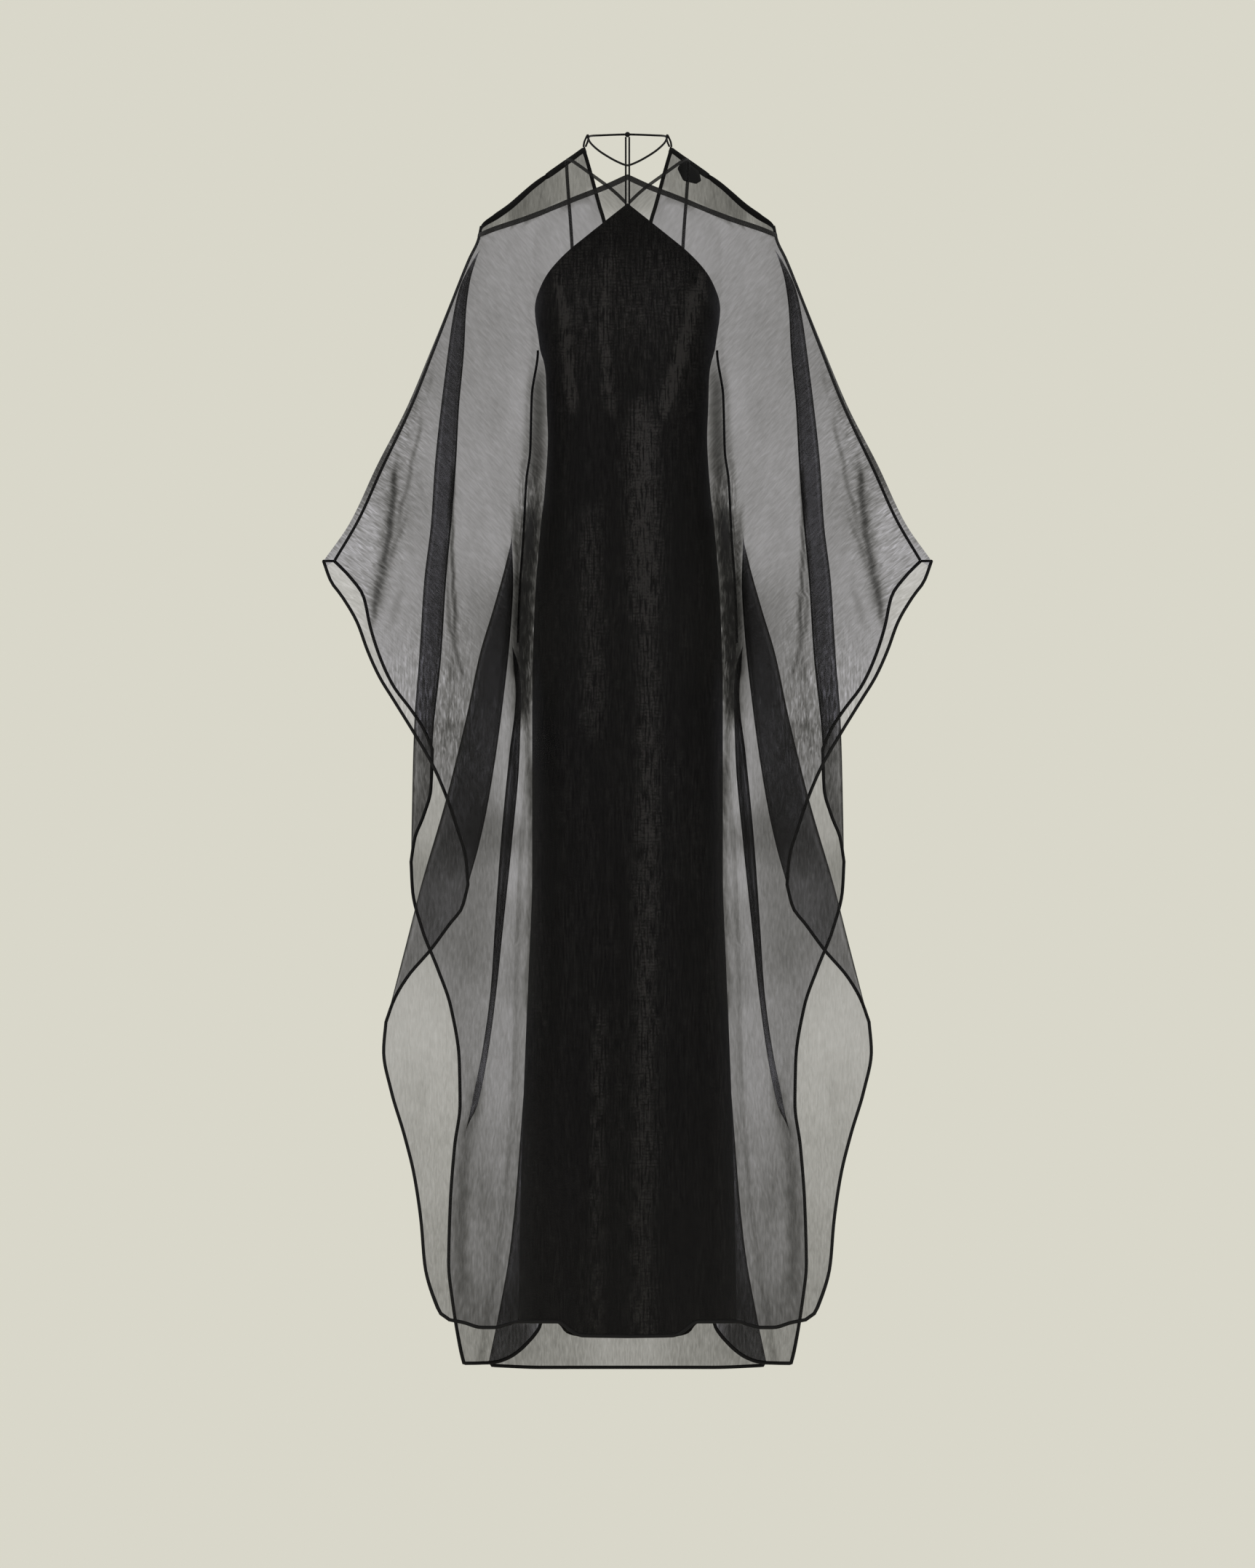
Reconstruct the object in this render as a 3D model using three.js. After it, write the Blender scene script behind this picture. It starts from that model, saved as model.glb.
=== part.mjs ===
// A sheer, floor-length kaftan worn over its own column slip, both hung from one cord round the neck.
//
// Lengths are millimetres. +Z is up, the wearer faces -Y, and the origin is the middle of the neck cord.
// Three words are used for places on the cloth:
//   drop   distance below the origin
//   reach  distance from the centre line, the same on the left and the right
//   bulge  distance from the garment's middle plane, forwards on the front and backwards on the back
// Each panel is worked out as one smooth surface and then given its thickness.

import * as THREE from 'three';

// ---- Driving dimensions ---------------------------------------------------

const SHEER_WALL = 1.2;
const SLIP_WALL = 1.5;
const BINDING_WALL = 1.2;
const SEAM_GAP = 0.3;
const TOP_BINDING = 7; // width of the binding along the necklines
const KEYHOLE_BINDING = 5; // width of the binding down the open back
const CORD_RADIUS = 1;
const LOOP_RADIUS = 0.8;
const STRAP_RADIUS = 1.8;
const BEAD_RADIUS = 3.2;
const ARM_ROUND = 55; // how far in from the sleeve's crest the cloth rounds over the arm
const FOLD_DEPTH = 8; // depth between two layers of a folded-over pleat
const TURN = 5; // length of the rounding at a pleat's turn
const SLEEVE_TIP = 556; // drop of the pointed end of the sleeve, where the cuff opens
const GATHER = 663; // drop where the side stitching ends
const MEETING = (SHEER_WALL + SEAM_GAP) / 2; // bulge where the two panels are stitched together

const SHEER_BLACK = { color: 0x3b3a38, roughness: 0.8, metalness: 0 };
const SLIP_BLACK = { color: 0x17140f, roughness: 0.6, metalness: 0 };
const TRIM_BLACK = { color: 0x100f0e, roughness: 0.7, metalness: 0 };

// ---- Small tools ----------------------------------------------------------

const mix = (a, b, t) => a + (b - a) * t;
const clamp01 = (t) => Math.min(1, Math.max(0, t));
const smooth = (from, to, v) => {
  const t = clamp01((v - from) / (to - from));
  return t * t * (3 - 2 * t);
};

// A smooth curve through a table's [input, value] rows that never overshoots them.
function curve(rows) {
  const steps = rows.slice(1).map((row, i) => (row[1] - rows[i][1]) / (row[0] - rows[i][0]));
  const last = rows.length - 1;
  const slopes = rows.map((_, i) => {
    if (i === 0) return steps[0];
    if (i === last) return steps[last - 1];
    const product = steps[i - 1] * steps[i];
    return product <= 0 ? 0 : (2 * product) / (steps[i - 1] + steps[i]);
  });
  return (v) => {
    if (v <= rows[0][0]) return rows[0][1];
    if (v >= rows[last][0]) return rows[last][1];
    let i = 0;
    while (v > rows[i + 1][0]) i += 1;
    const width = rows[i + 1][0] - rows[i][0];
    const t = (v - rows[i][0]) / width;
    const start = (1 + 2 * t) * (1 - t) * (1 - t) * rows[i][1];
    const end = t * t * (3 - 2 * t) * rows[i + 1][1];
    return start + end + t * (1 - t) * width * ((1 - t) * slopes[i] - t * slopes[i + 1]);
  };
}

// ---- Outline tables, [drop, reach] ------------------------------------------

// The crest of the sleeve, from the shoulder corner down to its pointed tip.
const crestReach = curve([
  [122, 193], [140, 197], [165, 209], [203, 225], [279, 256], [355, 288], [431, 327], [507, 363], [556, 397],
]);

// The line where front and back are stitched together, and the side station that carries on below it.
const STITCH = [
  [122, 104], [165, 116], [203, 124], [240, 124], [281, 117], [341, 125], [412, 127], [450, 132], [526, 136],
  [583, 140], [GATHER, 143],
];

// How far the front wraps over the crest, to the seam on the back of the arm.
const seamWrap = curve([[122, 2], [241, 3], [355, 5], [431, 8], [507, 9], [556, 14]]);

// ---- Cross-section shapes -----------------------------------------------------

// From the centre (0) to the side station (1), and from there (0) to the crest or rim (1).
const bodyLobe = curve([[0, 1], [0.3, 0.97], [0.5, 0.9], [0.8, 0.66], [0.95, 0.36], [1, 0]]);
const sleeveHill = curve([[0, 0], [0.06, 0.45], [0.2, 0.7], [0.45, 0.95], [0.65, 1], [1, 1]]);

// ---- The two panels -------------------------------------------------------------

// A fold-over pleat: "far" is the turn away from the centre and "near" the one towards it, as [drop, reach].
// It is a ripple where far < near, fades in over fadeIn and out over fadeOut, and its layers step inwards.

const front = {
  side: -1,
  topCorner: 127, // drop of the neckline's shoulder corner
  topEdge: curve([[0, 53], [27, 65], [69, 81], [97, 94], [135, 107], [193, 127]]), // [reach, drop]
  topFade: 330, // below this drop the rows run level
  innerReach: () => 0,
  firstColumn: 24,
  taper: () => 1,
  centre: curve([
    [53, 62], [90, 86], [127, 103], [170, 120], [215, 128], [260, 124], [330, 114], [420, 108], [520, 113],
    [620, 121], [750, 124], [1000, 126], [1300, 132], [1569, 138],
  ]),
  sideReach: curve([...STITCH, [1569, 150]]),
  sideBulge: curve([
    [127, 60], [165, 62], [203, 52], [240, 32], [281, MEETING], [GATHER, MEETING], [700, 12], [760, 38],
    [900, 62], [1200, 82], [1569, 96],
  ]),
  midBulge: curve([[127, 55], [203, 55], [431, 49], [640, 46], [780, 58], [1000, 75], [1546, 92]]),
  rimBulge: curve([[127, 55], [431, 49], [640, 32], [780, 42], [950, 55], [1158, 70], [1546, 88]]),
  rimReach: curve([
    [556, 397], [602, 373], [674, 339], [780, 300], [950, 300], [1158, 320], [1400, 290], [1546, 262],
  ]),
  folds: [
    {
      far: curve([
        [300, 136], [412, 138], [450, 141], [503, 146], [564, 160], [621, 176], [678, 193], [754, 209],
        [868, 237], [982, 270], [1049, 287], [1158, 315],
      ]),
      near: curve([
        [300, 142], [412, 149], [450, 152], [503, 152], [583, 149], [640, 152], [754, 164], [868, 181],
        [925, 193], [979, 208],
      ]),
      starts: 400,
      fadeIn: 110,
    },
  ],
  // The free edge below the cuff: on the pleat's outer layer, then its middle one, then its inner one.
  edge: [
    {
      upTo: 979,
      reach: curve([
        [556, 397], [583, 387], [636, 353], [707, 324], [780, 279], [862, 237], [944, 211], [979, 208],
      ]),
    },
    { upTo: 1158, reach: curve([[979, 208], [1009, 216], [1064, 257], [1099, 287], [1158, 315]]) },
    {
      upTo: Infinity,
      reach: curve([
        [1158, 315], [1196, 318], [1305, 291], [1419, 269], [1476, 264], [1529, 248], [1546, 232],
      ]),
    },
  ],
  hemFade: 1400,
  hemSag: (reach) => 23 * (1 - smooth(120, 232, reach)),
  rows: [
    127, 127 + TOP_BINDING, 165, 203, 241, 281, 335, 385, 431, 478, 520, 556, 572, 602, 636, 663, 700, 740,
    780, 823, 862, 906, 944, 979, 1030, 1090, 1158, 1225, 1310, 1400, 1476, 1546,
  ],
};

const back = {
  side: 1,
  topCorner: 122,
  topEdge: curve([[0, 15], [56, 15], [121, 61], [154, 91], [173, 104], [193, 122]]),
  topFade: 330,
  firstColumn: KEYHOLE_BINDING,
  // The open back, which closes into the centre-back seam between the panel's two halves.
  innerReach: curve([[15, 55.6], [48, 46], [92, 34], [112, 28], [200, 15], [327, SEAM_GAP / 2]]),
  taper: curve([[122, 0.62], [160, 0.82], [215, 1]]),
  centre: curve([
    [15, 22], [48, 50], [92, 78], [130, 92], [200, 104], [270, 107], [330, 103], [450, 98], [560, 110],
    [640, 122], [720, 128], [800, 133], [1000, 140], [1300, 152], [1610, 172],
  ]),
  sideReach: curve([
    ...STITCH, [700, 139], [726, 134], [811, 134], [925, 142], [1077, 148], [1229, 152], [1400, 165],
    [1610, 196],
  ]),
  sideBulge: curve([
    [122, 70], [165, 66], [203, 54], [240, 34], [281, MEETING], [GATHER, MEETING], [700, 12], [760, 42],
    [900, 76], [1200, 106], [1610, 136],
  ]),
  midBulge: curve([[122, 55], [203, 57], [431, 51], [640, 49], [780, 68], [1000, 92], [1610, 130]]),
  rimBulge: curve([[122, 55], [431, 51], [640, 36], [780, 52], [950, 76], [1158, 92], [1610, 126]]),
  rimReach: curve([
    [556, 397], [602, 358], [642, 340], [780, 290], [949, 290], [1158, 250], [1400, 240], [1606, 225],
  ]),
  folds: [
    {
      far: curve([
        [122, 84], [281, 96], [400, 106], [663, 122], [811, 124], [1060, 126], [1153, 131.6], [1229, 134.7],
        [1305, 140], [1381, 146], [1457, 154], [1533, 167], [1606, 182],
      ]),
      near: curve([
        [122, 84], [281, 96], [400, 106], [663, 122], [811, 126], [1060, 136], [1153, 131], [1229, 127],
        [1305, 124], [1457, 118], [1606, 112.6],
      ]),
      starts: 1060,
      fadeIn: 90,
    },
    {
      far: curve([
        [122, 124], [203, 140], [412, 142], [600, 149], [663, 150], [690, 149], [726, 146], [811, 155],
        [925, 166], [1039, 174], [1115, 179], [1191, 189], [1267, 204], [1312, 211], [1400, 205], [1606, 202],
      ]),
      near: curve([
        [122, 128], [203, 145], [412, 148], [600, 155], [663, 152], [690, 143], [726, 139], [811, 141],
        [925, 151], [1039, 163], [1115, 171], [1191, 181], [1267, 196], [1312, 215], [1400, 207], [1606, 204],
      ]),
      starts: 600,
      fadeIn: 90,
      ends: 1320,
      fadeOut: 60,
    },
    {
      far: curve([
        [122, 165], [161, 183], [203, 206], [241, 220], [279, 234], [355, 244], [431, 252], [507, 257],
        [583, 266], [678, 272], [773, 279], [887, 282], [949, 283],
      ]),
      near: curve([
        [122, 170], [161, 190], [203, 203], [241, 209], [279, 213], [355, 220], [431, 224], [507, 230],
        [583, 237], [678, 243], [773, 253], [802, 255],
      ]),
      starts: 162,
      fadeIn: 80,
    },
  ],
  edge: [
    {
      upTo: 802,
      reach: curve([
        [556, 383], [574, 365], [602, 345], [642, 336], [680, 324], [719, 306], [776, 266], [802, 255],
      ]),
    },
    { upTo: 949, reach: curve([[802, 255], [854, 257], [890, 267], [918, 278], [949, 283]]) },
    {
      upTo: Infinity,
      reach: curve([
        [949, 283], [987, 281], [1039, 268], [1139, 231], [1210, 220], [1267, 219], [1400, 232], [1476, 234],
        [1524, 229], [1606, 214],
      ]),
    },
  ],
  hemFade: 1480,
  hemSag: (reach, folded) =>
    folded ? -56 * (1 - smooth(112, 182, reach)) : 4 * (1 - smooth(0, 120, reach)),
  rows: [
    122, 122 + TOP_BINDING, 134, 165, 203, 241, 281, 335, 385, 431, 478, 520, 556, 574, 602, 642, 663, 700,
    740, 776, 802, 854, 900, 949, 1000, 1070, 1153, 1229, 1312, 1400, 1480, 1540, 1606,
  ],
};

// How far the panel stands out at a reach, with its pleats pressed flat. The drop differs from the row's
// near the neckline and the hem, where the rows bend.
function plainBulge(panel, row, reach, drop) {
  const side = panel.sideReach(row);
  const valley = panel.sideBulge(row);
  if (reach <= side) {
    return panel.taper(row) * mix(valley, panel.centre(drop), bodyLobe(reach / side));
  }
  const rim = row < SLEEVE_TIP ? crestReach(row) : panel.rimReach(row);
  const across = clamp01((reach - side) / (rim - side));
  const hill = mix(valley, panel.midBulge(row), sleeveHill(across));
  const open = mix(hill, panel.rimBulge(row), smooth(0.6, 1, across));
  const t = clamp01((rim - reach) / ARM_ROUND);
  const overArm = Math.sqrt(1 - (1 - t) * (1 - t));
  const closed = 1 - smooth(SLEEVE_TIP, SLEEVE_TIP + 110, row);
  return panel.taper(row) * open * mix(1, overArm, closed);
}

// How much of a pleat there is at a row: 0 where there is none, 1 in full.
function pleatAmount(fold, row) {
  const comesIn = smooth(fold.starts, fold.starts + fold.fadeIn, row);
  return fold.fadeOut ? comesIn * (1 - smooth(fold.ends - fold.fadeOut, fold.ends, row)) : comesIn;
}

// The plain stations up to a reach: the side stitching is one of them where the span crosses it.
function spanReaches(panel, row, from, to) {
  const side = panel.sideReach(row);
  const crosses = side > from && side < to;
  if (from > 70) return [crosses ? side : mix(from, to, 0.5), to];
  return crosses
    ? [mix(from, side, 0.4), mix(from, side, 0.72), mix(from, side, 0.9), side, to]
    : [mix(from, to, 0.3), mix(from, to, 0.55), mix(from, to, 0.8), mix(from, to, 0.93), to];
}

// The stations of one section, from the centre outwards. A pleat takes seven stations round its two turns,
// which all fall on one where the pleat is absent, and the stations past a free edge all fall on that edge.
const PLEAT_STATIONS = 6; // besides the one that ends the span before it
const LEAST_BULGE = 0.3; // of the plain one, however deep the pleats
const LAST_SPAN = [0.45, 0.75, 0.93, 1]; // parts of the way over the arm to the crest or the free edge

function section(panel, row) {
  const fadeTop = 1 - smooth(panel.topCorner, panel.topFade, row);
  const fadeHem = smooth(panel.hemFade, panel.rows[panel.rows.length - 1], row);
  const sleeved = row < SLEEVE_TIP;
  const corner = sleeved ? crestReach(row) : panel.rimReach(row);
  const stations = [];
  const dropAt = (reach, folded) => {
    const rise = panel.topCorner - panel.topEdge((reach / corner) * crestReach(panel.topCorner));
    return row - rise * fadeTop + panel.hemSag(reach, folded) * fadeHem;
  };
  const add = (reach, stepIn, folded = stepIn > 0) => {
    const drop = dropAt(reach, folded);
    const plain = plainBulge(panel, row, reach, drop);
    stations.push({ reach, drop, bulge: Math.max(plain - stepIn, LEAST_BULGE * plain) });
  };
  const repeatLast = (times) => {
    for (let i = 0; i < times; i += 1) stations.push(stations[stations.length - 1]);
  };

  const edgeLayer = sleeved ? 0 : panel.edge.findIndex((part) => row < part.upTo);
  const seam = crestReach(row) - (panel === back ? seamWrap(row) : 0);
  const edge = sleeved ? seam : panel.edge[edgeLayer].reach(row);

  let from = panel.innerReach(dropAt(0, false));
  let stepIn = 0;
  add(from, 0);
  from += panel.firstColumn;
  add(from, 0);

  panel.folds.forEach((fold, index) => {
    const outermost = index === panel.folds.length - 1;
    const amount = pleatAmount(fold, row);
    const [far, near] = [fold.far(row), fold.near(row)];
    const edgeBeforeFold = outermost && edgeLayer === 2;
    const edgeInFold = outermost && edgeLayer === 1;
    const target = edgeBeforeFold ? edge : amount > 0 ? far - TURN : mix(far, near, 0.5);
    spanReaches(panel, row, from, target).forEach((reach) => add(reach, stepIn));
    if (edgeBeforeFold || amount === 0) {
      repeatLast(PLEAT_STATIONS);
      from = target;
      return;
    }
    // A full turn doubles back by TURN, and a ripple runs straight on.
    const depth = FOLD_DEPTH * amount;
    const turn = TURN * Math.max(-1, Math.min(1, (far - near) / (2 * TURN)));
    const inner = edgeInFold ? Math.min(edge, far - turn) : near + turn;
    add(far, stepIn + 0.5 * depth);
    add(far - turn, stepIn + 0.95 * depth);
    add(mix(far - turn, inner, 0.5), stepIn + depth);
    add(inner, stepIn + 1.05 * depth);
    if (edgeInFold) {
      repeatLast(2);
      return;
    }
    add(near, stepIn + 1.5 * depth);
    add(near + TURN, stepIn + 2 * depth);
    stepIn += 2 * depth;
    from = near + TURN;
  });

  // The last span's pleat step fades towards the crest, where both panels meet.
  const crest = crestReach(row);
  LAST_SPAN.forEach((part) => {
    if (edgeLayer > 0) {
      repeatLast(1);
      return;
    }
    const reach = mix(from, edge, part);
    const towardsCrest = clamp01((reach - from) / (crest - from)) ** 2;
    const fade = 1 - towardsCrest * (1 - smooth(SLEEVE_TIP, SLEEVE_TIP + 80, row));
    add(reach, stepIn * fade, stepIn > 0);
  });

  return stations.map(({ reach, drop, bulge }) => new THREE.Vector3(reach, panel.side * bulge, -drop));
}

// The front runs on over the crest to the overarm seam on the back, just short of the back panel's edge.
function frontSection(row) {
  const points = section(front, row);
  const crest = points[points.length - 1];
  if (row > SLEEVE_TIP) return [...points, crest, crest];
  const backEdge = section(back, row).pop();
  const round = crest.clone().lerp(backEdge, 0.4);
  round.x = mix(crest.x, backEdge.x, 0.15);
  const reach = round.distanceTo(backEdge);
  return [...points, round, round.clone().lerp(backEdge, 1 - (1.5 * SEAM_GAP) / reach)];
}

// ---- From surfaces to closed walls ------------------------------------------------

// A sheet is a set of shared points and the triangles between them. Points that fall together are one point.
class Sheet {
  constructor() {
    this.points = [];
    this.triangles = [];
    this.known = new Map();
  }

  point(p) {
    const key = [p.x, p.y, p.z].map((v) => Math.round(v * 1000)).join();
    if (!this.known.has(key)) {
      this.known.set(key, this.points.length);
      this.points.push(p);
    }
    return this.known.get(key);
  }

  triangle(a, b, c) {
    if (a !== b && b !== c && c !== a) this.triangles.push([a, b, c]);
  }

  // Rows of points become a strip of faces. flip turns the faces over, as for the mirrored half.
  addGrid(rows, flip = false) {
    const index = rows.map((row) => row.map((p) => this.point(p)));
    for (let i = 0; i + 1 < index.length; i += 1) {
      for (let j = 0; j + 1 < index[i].length; j += 1) {
        const [a, b, c, d] = [index[i][j], index[i][j + 1], index[i + 1][j + 1], index[i + 1][j]];
        if (flip) {
          this.triangle(a, c, b);
          this.triangle(a, d, c);
        } else {
          this.triangle(a, b, c);
          this.triangle(a, c, d);
        }
      }
    }
    return this;
  }

  addMirrored(rows) {
    return this.addGrid(rows.map((row) => row.map((p) => new THREE.Vector3(-p.x, p.y, p.z))), true);
  }

  normals() {
    const sums = this.points.map(() => new THREE.Vector3());
    this.triangles.forEach((corners) => {
      const [a, b, c] = corners.map((i) => this.points[i]);
      const normal = b.clone().sub(a).cross(c.clone().sub(a));
      corners.forEach((i) => sums[i].add(normal));
    });
    return sums.map((sum) => sum.normalize());
  }

  // The closed wall of a given thickness around the sheet, its middle moved off the sheet by offset.
  wall(thickness, offset = 0) {
    const normals = this.normals();
    const count = this.points.length;
    const moved = (distance) => this.points.map((p, i) => p.clone().addScaledVector(normals[i], distance));
    const positions = [...moved(offset + thickness / 2), ...moved(offset - thickness / 2)]
      .flatMap((p) => p.toArray());
    const open = new Set();
    const index = [];
    this.triangles.forEach(([a, b, c]) => {
      index.push(a, b, c, a + count, c + count, b + count);
      [[a, b], [b, c], [c, a]].forEach(([from, to]) => {
        if (!open.delete(`${to},${from}`)) open.add(`${from},${to}`);
      });
    });
    open.forEach((edge) => {
      const [a, b] = edge.split(',').map(Number);
      index.push(b, a, a + count, b, a + count, b + count);
    });
    const geometry = new THREE.BufferGeometry();
    geometry.setAttribute('position', new THREE.Float32BufferAttribute(positions, 3));
    geometry.setIndex(index);
    geometry.computeVertexNormals();
    return geometry;
  }
}

const kaftan = new THREE.Group();
kaftan.name = 'kaftan';

function addPiece(name, geometry, finish) {
  const mesh = new THREE.Mesh(geometry, new THREE.MeshStandardMaterial(finish));
  mesh.name = name;
  kaftan.add(mesh);
}

// ---- Panels and their bindings ---------------------------------------------------------

const frontRows = front.rows.map(frontSection);
const backRows = back.rows.map((row) => section(back, row));

const bothHalves = (rows) => new Sheet().addGrid(rows).addMirrored(rows);
addPiece('front_panel', bothHalves(frontRows).wall(SHEER_WALL), SHEER_BLACK);
addPiece('back_panel_left', new Sheet().addGrid(backRows).wall(SHEER_WALL), SHEER_BLACK);
addPiece('back_panel_right', new Sheet().addMirrored(backRows).wall(SHEER_WALL), SHEER_BLACK);

// A binding lies on the outside of its panel, made from the panel's own points.
const BINDING_OFFSET = SHEER_WALL / 2 + SEAM_GAP + BINDING_WALL / 2;
const chevron = frontRows.slice(0, 2).map((row) => row.slice(0, -3));
addPiece('front_neck_binding', bothHalves(chevron).wall(BINDING_WALL, -BINDING_OFFSET), TRIM_BLACK);

const bindingEnd = back.rows.findIndex((row) => back.innerReach(row) === SEAM_GAP / 2);
const topStrip = backRows.slice(0, 2).map((row) => row.slice(0, -1));
const keyholeStrip = backRows.slice(1, bindingEnd).map((row) => row.slice(0, 2));
[['left', 1], ['right', -1]].forEach(([name, x]) => {
  const sheet = new Sheet();
  [topStrip, keyholeStrip].forEach((rows) => (x > 0 ? sheet.addGrid(rows) : sheet.addMirrored(rows)));
  addPiece(`back_neck_binding_${name}`, sheet.wall(BINDING_WALL, BINDING_OFFSET), TRIM_BLACK);
});

// ---- The slip -----------------------------------------------------------------------------

// Level ellipses: half-width, then half-depth to the front and to the back, each by drop.
const slip = {
  width: curve([
    [90, 118], [150, 120], [200, 119.5], [230, 117], [281, 110], [317, 105.5], [393, 103.5], [469, 108.5],
    [507, 113], [621, 121.5], [735, 124.5], [963, 124.5], [1077, 128.5], [1248, 135.5], [1438, 141],
    [1569, 143],
  ]),
  frontDepth: curve([
    [90, 79], [127, 93], [170, 110], [215, 118], [260, 114], [330, 103], [420, 97], [520, 103], [620, 112],
    [1000, 113], [1569, 117],
  ]),
  backDepth: curve([
    [180, 96], [270, 96], [330, 90], [394, 84], [470, 88], [560, 102], [640, 113], [1000, 117], [1569, 123],
  ]),
  // The halter neckline and armhole, [part of the way round to the side seam, drop].
  frontTop: curve([
    [0, 90], [0.25, 127], [0.4, 147], [0.55, 167], [0.7, 190], [0.82, 213], [0.92, 240], [1, 272],
  ]),
  backTop: () => 272,
  frontHem: (part) => 1569 - 19 * smooth(0.3, 0.5, part),
  backHem: () => 1550,
};
const SLIP_PARTS = [0, 0.12, 0.25, 0.4, 0.55, 0.7, 0.82, 0.92, 1]; // of the way round to the side seam
const SLIP_LEVELS = [0, 0.02, 0.05, 0.09, 0.14, 0.2, 0.27, 0.35, 0.44, 0.55, 0.68, 0.84, 1]; // of its length

function slipRows(depth, side, top, hem) {
  return SLIP_LEVELS.map((level) =>
    SLIP_PARTS.map((part) => {
      const drop = mix(top(part), hem(part), level);
      const turn = (part * Math.PI) / 2;
      const out = Math.max(depth(drop) * Math.cos(turn), SEAM_GAP / 2);
      return new THREE.Vector3(slip.width(drop) * Math.sin(turn), side * out, -drop);
    }),
  );
}

const slipFront = slipRows(slip.frontDepth, -1, slip.frontTop, slip.frontHem);
const slipBack = slipRows(slip.backDepth, 1, slip.backTop, slip.backHem);
addPiece('slip_front', bothHalves(slipFront).wall(SLIP_WALL), SLIP_BLACK);
addPiece('slip_back', bothHalves(slipBack).wall(SLIP_WALL), SLIP_BLACK);

// ---- Cords, straps, loops and bead ------------------------------------------------------------

// A round cord through points given for the wearer's left (+X) side.
function addCord(name, points, radius, steps, sides = 6) {
  const path = new THREE.CatmullRomCurve3(points.map((p) => new THREE.Vector3(...p)), false, 'centripetal');
  const ring = Array.from({ length: sides }, (_, i) => {
    const angle = (2 * Math.PI * i) / sides;
    return new THREE.Vector2(radius * Math.cos(angle), radius * Math.sin(angle));
  });
  const along = { steps, extrudePath: path, bevelEnabled: false };
  addPiece(name, new THREE.ExtrudeGeometry(new THREE.Shape(ring), along), TRIM_BLACK);
}

const mirrored = (points) => points.map(([x, y, z]) => [-x, y, z]);
const bothSides = (name, points, ...rest) => {
  addCord(`${name}_left`, points, ...rest);
  addCord(`${name}_right`, mirrored(points), ...rest);
};

// The neck cord: a V in front and a level run behind, which meet inside the side loops.
const neckFront = [
  [52, 6, -2.5], [48, -10, -10.5], [37.5, -29, -20.5], [24, -43, -29.5], [13, -50, -35.5], [3, -53.5, -39.6],
];
const neckBack = [[52, 7, -2.3], [47, 26, -0.3], [35, 43, 0.6], [18, 53, 1.5], [0, 56, 2]];
addCord('neck_cord_front', [...neckFront, ...mirrored(neckFront).reverse()], CORD_RADIUS, 28);
addCord('neck_cord_back', [...neckBack, ...mirrored(neckBack).reverse().slice(1)], CORD_RADIUS, 24);

const bead = new THREE.SphereGeometry(BEAD_RADIUS, 10, 8);
const [, backOfNeck, cordHeight] = neckBack[neckBack.length - 1];
bead.translate(0, backOfNeck + CORD_RADIUS + SEAM_GAP + BEAD_RADIUS, cordHeight);
addPiece('bead', bead, TRIM_BLACK);

// Each loop goes up from the back panel's peak, over the neck cord and down again.
const sideLoop = [
  [58.2, 17.4, -14.4], [57.2, 12, -8.5], [54.6, 6.7, -2.6], [52, 6.6, 0.1], [49.5, 6.7, -2.6],
  [52.6, 11.5, -8.5], [56, 17.2, -14.2],
];
bothSides('side_loop', sideLoop, LOOP_RADIUS, 16);

// Pairs of thin cords hang the slip: in front from the point of the V, behind from the bead.
const frontDrop = [[2.3, -53.7, -41.2], [2.3, -60.1, -53], [2.3, -69, -70], [2.3, -79.2, -90.7]];
const backDrop = [
  [2.3, 60.5, -1.2], [2.3, 66, -45], [2.3, 80, -110], [2.3, 90, -180], [2.3, 95.8, -271.6],
];
bothSides('front_drop_cord', frontDrop, LOOP_RADIUS, 6);
bothSides('back_drop_cord', backDrop, LOOP_RADIUS, 10);

// The slip's straps run from its front apex over the shoulders and down to its back edge.
const slipStrap = [
  [8, -80.6, -95], [14, -74, -79], [24, -64, -67], [43, -58, -54], [62, -44, -40], [74, -24, -32],
  [79, -2, -34], [79, 20, -50], [77, 38, -80], [74, 56, -120], [71, 70, -170], [68, 76, -220], [66, 77, -271.6],
];
bothSides('slip_strap', slipStrap, STRAP_RADIUS, 26);

// ---- The woven label inside the back neckline ----------------------------------------------------

const LABEL_WALL = 1;
const LABEL_ROWS = [129, 165]; // sections that the label lies between, by their drop at the shoulder
const labelOffset = -(SHEER_WALL / 2 + SEAM_GAP + LABEL_WALL / 2);
const labelPatch = LABEL_ROWS.map((row) => section(back, row).slice(3, 6));
addPiece('label', new Sheet().addGrid(labelPatch).wall(LABEL_WALL, labelOffset), TRIM_BLACK);

export default kaftan;
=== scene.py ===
# %% [markdown]
# # A sheer kaftan over a column slip
# The garment has two big panels of sheer black cloth, front and back, each cut in one with its half of
# the batwing sleeves. They hang over an opaque halter slip, and everything is tied to one thin cord round
# the neck. This lesson builds the cloth as curved sheets, section by section, then the bindings, hems,
# cords and stitches.

# %% Load the frame
import math

import bpy
import numpy as np
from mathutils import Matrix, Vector
from mathutils.bvhtree import BVHTree


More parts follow.
